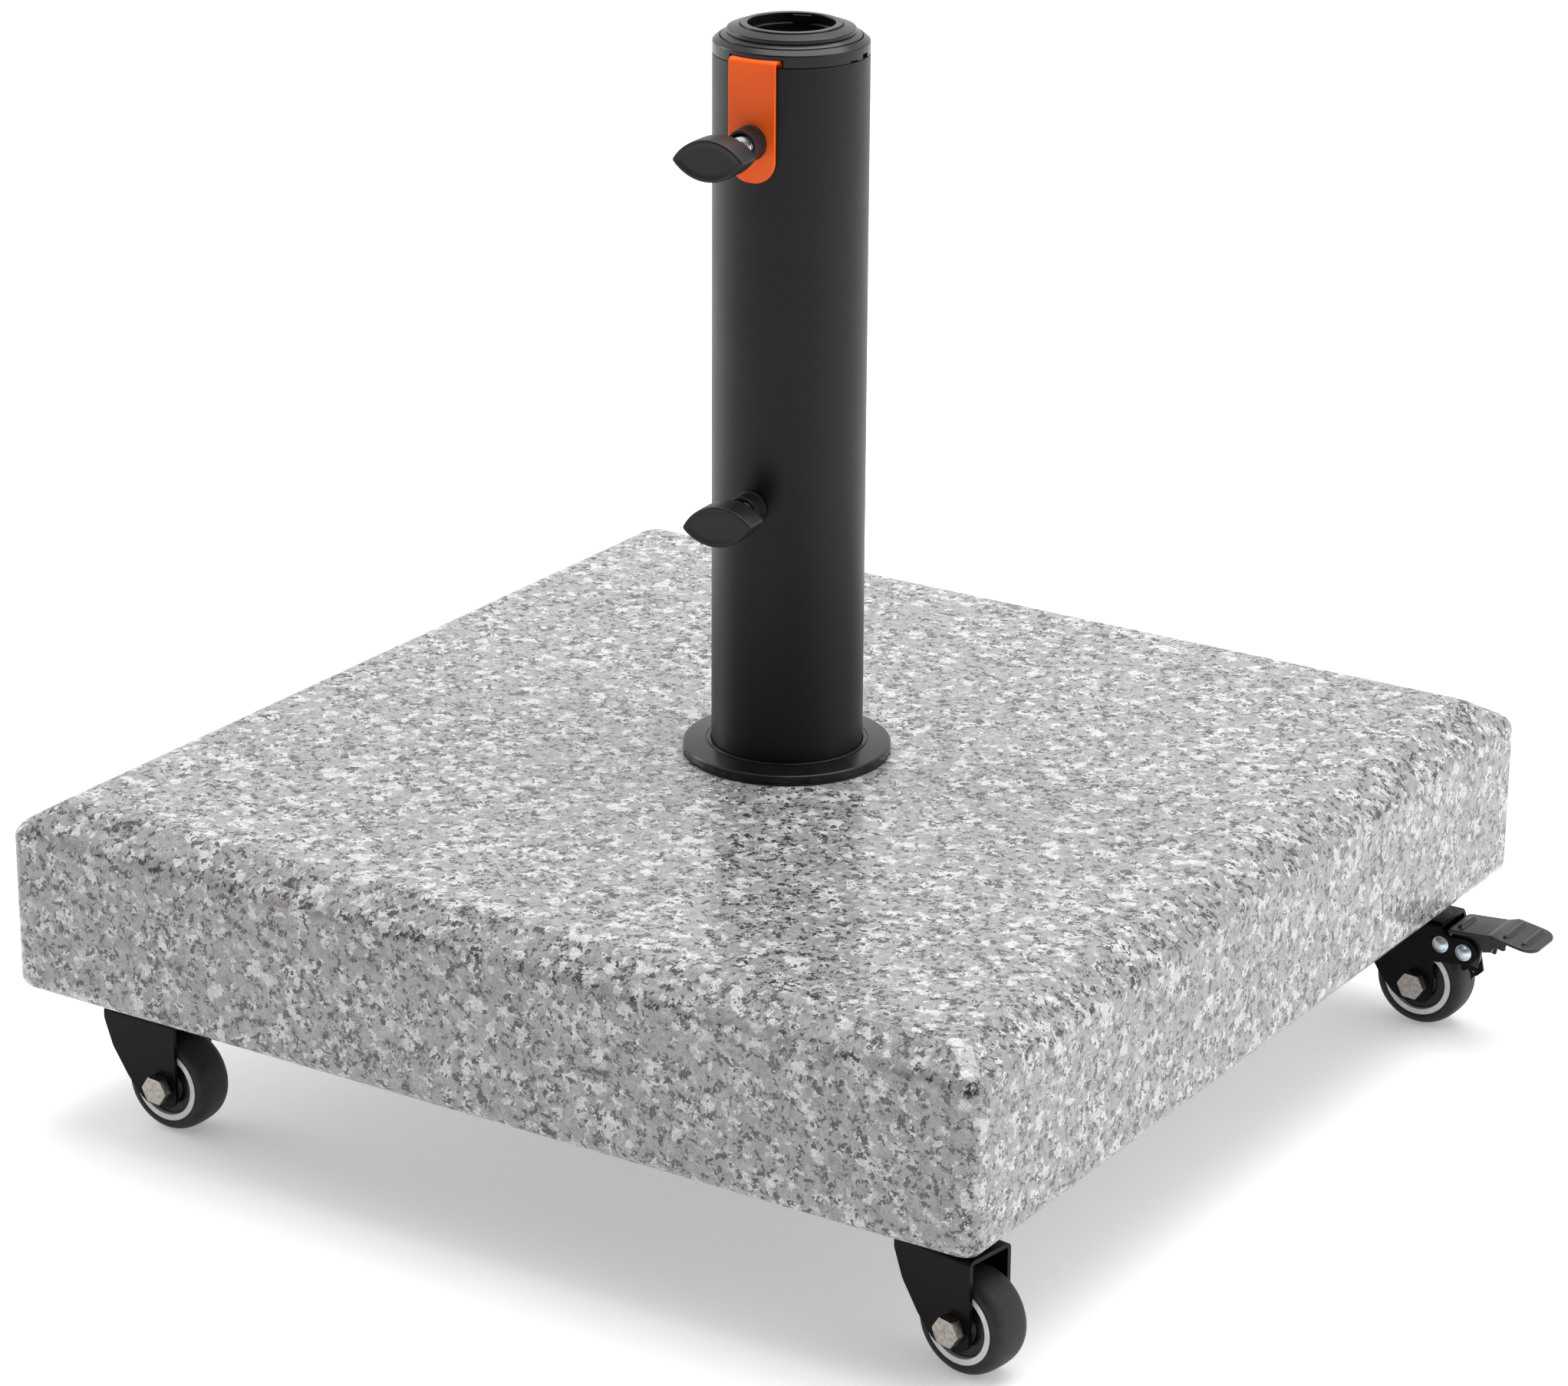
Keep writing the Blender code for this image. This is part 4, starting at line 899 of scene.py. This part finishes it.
def hub_cap():
    """Disc over the web with a raised middle round the bolt."""
    profile = rounded([(4.6, 8.2), (15.4, 8.2), (15.4, 9.2), (9.4, 9.6), (8.3, 11.8), (4.6, 11.8)],
                      [0, 0.2, 0.4, 0.8, 0.5, 0.2], 4)
    return spun("cap", profile, 96, "Y")


PEDAL_HEEL, PEDAL_TIP = 36.8, 86.9
HEEL_RADIUS, TIP_RADIUS = 2.0, 8.0


def pedal_height(x):
    """Height of the pedal's upper face along the caster."""
    line = [(PEDAL_HEEL, 58.5), (59.6, 60.4), (61.5, 60.9), (64.8, 61.2), (67.0, 61.05), (PEDAL_TIP, 57.7)]
    for (x0, z0), (x1, z1) in zip(line, line[1:]):
        if x <= x1:
            return z0 + (z1 - z0) * (x - x0) / (x1 - x0)
    return line[-1][1]


def pedal_half_width(x):
    """Half the pedal's width: a narrow neck that widens to the pad, with rounded ends."""
    neck, pad = 13.5, 15.5
    neck_end, pad_start = 61.0, 65.0
    heel_turn, tip_turn = PEDAL_HEEL + HEEL_RADIUS, PEDAL_TIP - TIP_RADIUS
    if x < heel_turn:
        return neck - HEEL_RADIUS + math.sqrt(max(0.0, HEEL_RADIUS ** 2 - (heel_turn - x) ** 2))
    if x < neck_end:
        return neck
    if x < pad_start:
        step = (x - neck_end) / (pad_start - neck_end)
        return neck + (pad - neck) * step * step * (3 - 2 * step)
    if x < tip_turn:
        return pad
    return pad - TIP_RADIUS + math.sqrt(max(0.0, TIP_RADIUS ** 2 - (x - tip_turn) ** 2))


# Each bead: its place along the caster, half its length, half its width and its height
PEDAL_RIBS = ((42.5, 6.6, 1.4, 1.4), (69.6, 10.4, 1.3, 1.7), (79.9, 10.4, 1.3, 1.7))


def pedal_rib(x, y):
    """Height of the raised beads across the pedal, each with round ends."""
    rise = 0.0
    for centre, half_length, half_width, height in PEDAL_RIBS:
        past = max(0.0, abs(y) - half_length)
        distance = math.hypot(x - centre, past) / (half_width + 0.55)
        if distance < 1:
            rise = max(rise, height * (1 - distance ** 3))
    return rise


def pedal_blade():
    """The pedal's pressed sheet, with its beads and a softened edge."""
    stations = [PEDAL_HEEL + 0.45 * step for step in range(94)]
    stations += [PEDAL_TIP - TIP_RADIUS * (1 - math.sin(math.radians(90 * step / 14))) for step in range(15)]
    middle, half_length = (PEDAL_HEEL + PEDAL_TIP) / 2, (PEDAL_TIP - PEDAL_HEEL) / 2
    across = 44
    sheet, edge = 1.8, 0.35
    shape = bmesh.new()

    def layer(drop, inset):
        rows = []
        for x in stations:
            lengthwise = (x - middle) / half_length
            inwards = math.copysign(inset, lengthwise) if abs(lengthwise) > 0.93 else 0.0
            half = max(0.5, pedal_half_width(x) - inset)
            row = []
            for step in range(across + 1):
                y = half * (2 * step / across - 1)
                z = pedal_height(x) + pedal_rib(x, y) - drop
                row.append(shape.verts.new((x - inwards - PEDAL_PIVOT[0], y, z - PEDAL_PIVOT[1])))
            rows.append(row)
        return rows

    def border(rows):
        return rows[0] + [row[-1] for row in rows[1:]] + rows[-1][-2::-1] + [row[0] for row in rows[-2:0:-1]]

    upper, lower = layer(0.0, edge), layer(sheet, edge)
    brink_high, brink_low = layer(edge, 0.0), layer(sheet - edge, 0.0)
    for rows in (upper, lower):
        for first, second in zip(rows, rows[1:]):
            for step in range(across):
                shape.faces.new([first[step], first[step + 1], second[step + 1], second[step]])
    loops = [border(rows) for rows in (upper, brink_high, brink_low, lower)]
    for first, second in zip(loops, loops[1:]):
        for index in range(len(first)):
            other = (index + 1) % len(first)
            shape.faces.new([first[index], first[other], second[other], second[index]])
    for vert in [vert for vert in shape.verts if not vert.link_faces]:
        shape.verts.remove(vert)
    return finish_mesh(shape, "blade", 50.0)


def brake_pedal():
    """Stamped lever: a wide pad with raised beads, two ears down to the pivot and a toothed strip below."""
    ear = rounded([(41.6, 48.1), (46.0, 42.6), (54.9, 40.0), (57.7, 59.2), (40.5, 57.6)],
                  [0, 3.0, 0.8, 0, 0], 5)
    ears = []
    for low, high in ((-11.7, -9.9), (9.9, 11.7)):
        piece = drawn("ear", about(PEDAL_PIVOT, ear), low, high, "Y")
        ears.append(bevelled(cut(piece, rod("bore", RIVET_BORE, -30, 30, 32, "Y")), 0.3, 2))
    teeth = rounded([
        (55.0, 58.6), (67.0, 59.2), (69.8, 56.6), (69.6, 53.7), (67.8, 53.4),
        (64.8, 54.2), (62.6, 53.0), (62.0, 51.0), (60.4, 50.8), (57.2, 50.0),
    ], [0, 0, 0.4, 0.25, 0.8, 1.2, 0.5, 0.3, 0.5, 0.5], 3)
    strip = bevelled(drawn("strip", about(PEDAL_PIVOT, teeth), -12.4, -10.8, "Y"), 0.25, 2)
    return together("pedal", [pedal_blade()] + ears + [strip])


def brake_shoe():
    """Toothed plate beside the tyre, with a bridge to the short cheek that hangs from the pin's far end."""
    outer, inner = 9.6, 8.0
    hanger = arc(SHOE_PIVOT, 3.2, 80, 235, 12)
    toothed = hanger + rounded([
        (40.8, 46.2), (44.8, 41.2), (44.2, 37.2), (46.0, 35.9), (48.6, 38.0), (49.8, 35.4), (50.6, 31.7),
        (52.2, 34.4), (54.1, 35.4), (57.0, 38.4), (55.2, 47.0), (53.6, 53.5), (42.0, 53.5),
    ], [1.0, 0.8, 0.4, 0.3, 0.6, 0.6, 0.2, 0.8, 0.5, 0.3, 0, 0.5, 0.8], 3)
    short = hanger + [(40.8, 46.2), (43.0, 48.0), (43.0, 53.5)]
    bridge = [(36.5, 51.6), (43.0, 51.6), (43.0, 53.0), (36.5, 53.0)]

    def plate(outline, low, high):
        return drawn("shoe", about(SHOE_PIVOT, outline), low, high, "Y")

    body = combined(plate(toothed, -outer, -inner), plate(bridge, 0.4 - outer, outer - 0.4), "UNION")
    body = combined(body, plate(short, inner, outer), "UNION")
    # The rivet's bore, room for the pedal's rivet, and the small eye between the teeth
    holes = ((SHOE_PIVOT, RIVET_BORE, 32), (PEDAL_PIVOT, 3.4, 32), ((51.5, 36.6), 0.7, 24))
    for centre, radius, sides in holes:
        x, z = about(SHOE_PIVOT, [centre])[0]
        body = cut(body, moved(rod("hole", radius, -30, 30, sides, "Y"), (x, 0, z)))
    return bevelled(body, 0.25, 2)


def build_casters():
    plate, heads = plate_and_pin()
    plain_fork, braked_fork = swivel_fork(False), swivel_fork(True)
    bolt, nut, core, rubber, cap = axle_bolt(), axle_nut(), wheel_core(), tyre(), hub_cap()
    pedal, shoe, pin = brake_pedal(), brake_shoe(), rivet()
    for name, (side_x, side_y, yaw, braked) in CASTERS.items():
        spot = (side_x * CASTER_PITCH, side_y * CASTER_PITCH, 0)
        swivel, wheel = "swivel_" + name, "wheel_" + name
        where = at(spot, yaw)
        axle = where @ at((TRAIL, 0, WHEEL_RADIUS))
        far_side = axle @ at(turn=math.pi)
        show("mount_plate_" + name, plate, "black_steel", "base", "caster_plate_" + name, at(spot))
        show("plate_screws_" + name, heads, "zinc", "base", (), at(spot))
        fork = braked_fork if braked else plain_fork
        show("horn_" + name, fork, "black_steel", swivel, "fork_" + name, where)
        show("hex_bolt_" + name, bolt, "steel", swivel, "axle_bolt_" + name, axle)
        show("hex_nut_" + name, nut, "steel", swivel, "axle_nut_" + name, axle)
        show("rim_" + name, core, "rim", wheel, "wheel_core_" + name, axle)
        show("rubber_" + name, rubber, "tyre", wheel, "tyre_" + name, axle)
        show("cover_outer_" + name, cap, "cap_plastic", wheel, "hub_cap_outer_" + name, axle)
        show("cover_inner_" + name, cap, "cap_plastic", wheel, "hub_cap_inner_" + name, far_side)
        if braked:
            at_pedal = where @ at((PEDAL_PIVOT[0], 0, PEDAL_PIVOT[1]))
            at_shoe = where @ at((SHOE_PIVOT[0], 0, SHOE_PIVOT[1]))
            show("lever_" + name, pedal, "pedal_steel", "pedal_" + name, "brake_pedal_" + name, at_pedal)
            show("brake_jaw_" + name, shoe, "black_steel", "shoe_" + name, "brake_shoe_" + name, at_shoe)
            show("lever_rivet_" + name, pin, "zinc", swivel, "pedal_rivet_" + name, at_pedal)
            show("jaw_rivet_" + name, pin, "zinc", swivel, "shoe_rivet_" + name, at_shoe)


# Studio

def build_floor():
    """A wide, pale floor that glows a little."""
    made, tree, shader = blank("studio_floor", Roughness=0.75, Emission_Strength=0.30)
    shader.inputs["Emission Color"].default_value = colour(1.0, 1.0, 1.0)
    place = node(tree, "ShaderNodeTexCoord").outputs["Object"]
    cloud = node(tree, "ShaderNodeTexNoise", {"Vector": place, "Scale": 0.8, "Detail": 2.0}).outputs["Fac"]
    wire(tree, shader, Base_Color=mixed(tree, cloud, colour(0.83, 0.83, 0.83), colour(0.86, 0.86, 0.86)))
    shape = bmesh.new()
    bmesh.ops.create_circle(shape, cap_ends=True, segments=96, radius=14.0)
    mesh = bpy.data.meshes.new("floor")
    shape.to_mesh(mesh)
    shape.free()
    mesh.materials.append(made)
    floor = bpy.data.objects.new("studio_floor", mesh)
    bpy.context.scene.collection.objects.link(floor)


def build_surround():
    """A white studio that is darker on the side of the camera, a little to its left."""
    world = bpy.data.worlds.new("studio")
    bpy.context.scene.world = world
    world.use_nodes = True
    tree = world.node_tree
    view = node(tree, "ShaderNodeTexCoord").outputs["Generated"]
    azimuth = math.radians(-75)
    dark_side = (math.cos(azimuth), math.sin(azimuth), 0.12)
    facing = node(tree, "ShaderNodeVectorMath", {0: view, 1: dark_side}, operation="DOT_PRODUCT")
    shade = spread(tree, facing.outputs["Value"], 0.10, 0.92, 0.0, 1.0, True)
    tint = mixed(tree, shade, colour(1.0, 1.0, 1.0), colour(0.10, 0.10, 0.105))
    tree.links.new(tint, tree.nodes["Background"].inputs["Color"])


def softbox(name, location, target, size, power):
    lamp = bpy.data.lights.new(name, "AREA")
    lamp.shape = "RECTANGLE"
    lamp.size, lamp.size_y = size
    lamp.energy = power
    made = bpy.data.objects.new(name, lamp)
    made.location = location
    made.rotation_euler = (Vector(target) - Vector(location)).to_track_quat("-Z", "Y").to_euler()
    bpy.context.scene.collection.objects.link(made)


def build_lights():
    softbox("overhead", location=(0.2, 0.5, 2.6), target=(0, 0, 0.2), size=(2.4, 2.4), power=64.0)
    softbox("right_side", location=(2.6, 0.9, 1.5), target=(0, 0, 0.15), size=(1.6, 1.8), power=9.0)
    softbox("left_rim", location=(-2.8, -0.3, 1.1), target=(0, 0, 0.35), size=(1.0, 1.8), power=22.0)


def build_camera():
    """A long lens in front and to the right, looking down a little."""
    location = (1.24527, -1.94278, 1.0533)
    right = Vector((0.84075, 0.54139, 0.00630))
    up = Vector((-0.19245, 0.28794, 0.93811))
    back = Vector((0.50607, -0.78993, 0.34627))
    lens_data = bpy.data.cameras.new("camera")
    lens_data.lens = 112.64
    lens_data.shift_x = -0.0027
    lens_data.shift_y = -0.0002
    lens_data.clip_end = 60.0
    camera = bpy.data.objects.new("camera", lens_data)
    turn = Matrix((right, up, back)).transposed().to_4x4()
    camera.matrix_world = Matrix.Translation(location) @ turn
    bpy.context.scene.collection.objects.link(camera)
    bpy.context.scene.camera = camera


build_slab()
build_column()
build_hand_screws()
build_casters()
build_floor()
build_surround()
build_lights()
build_camera()
bpy.context.scene.view_settings.view_transform = "Standard"

bpy.context.view_layer.update()
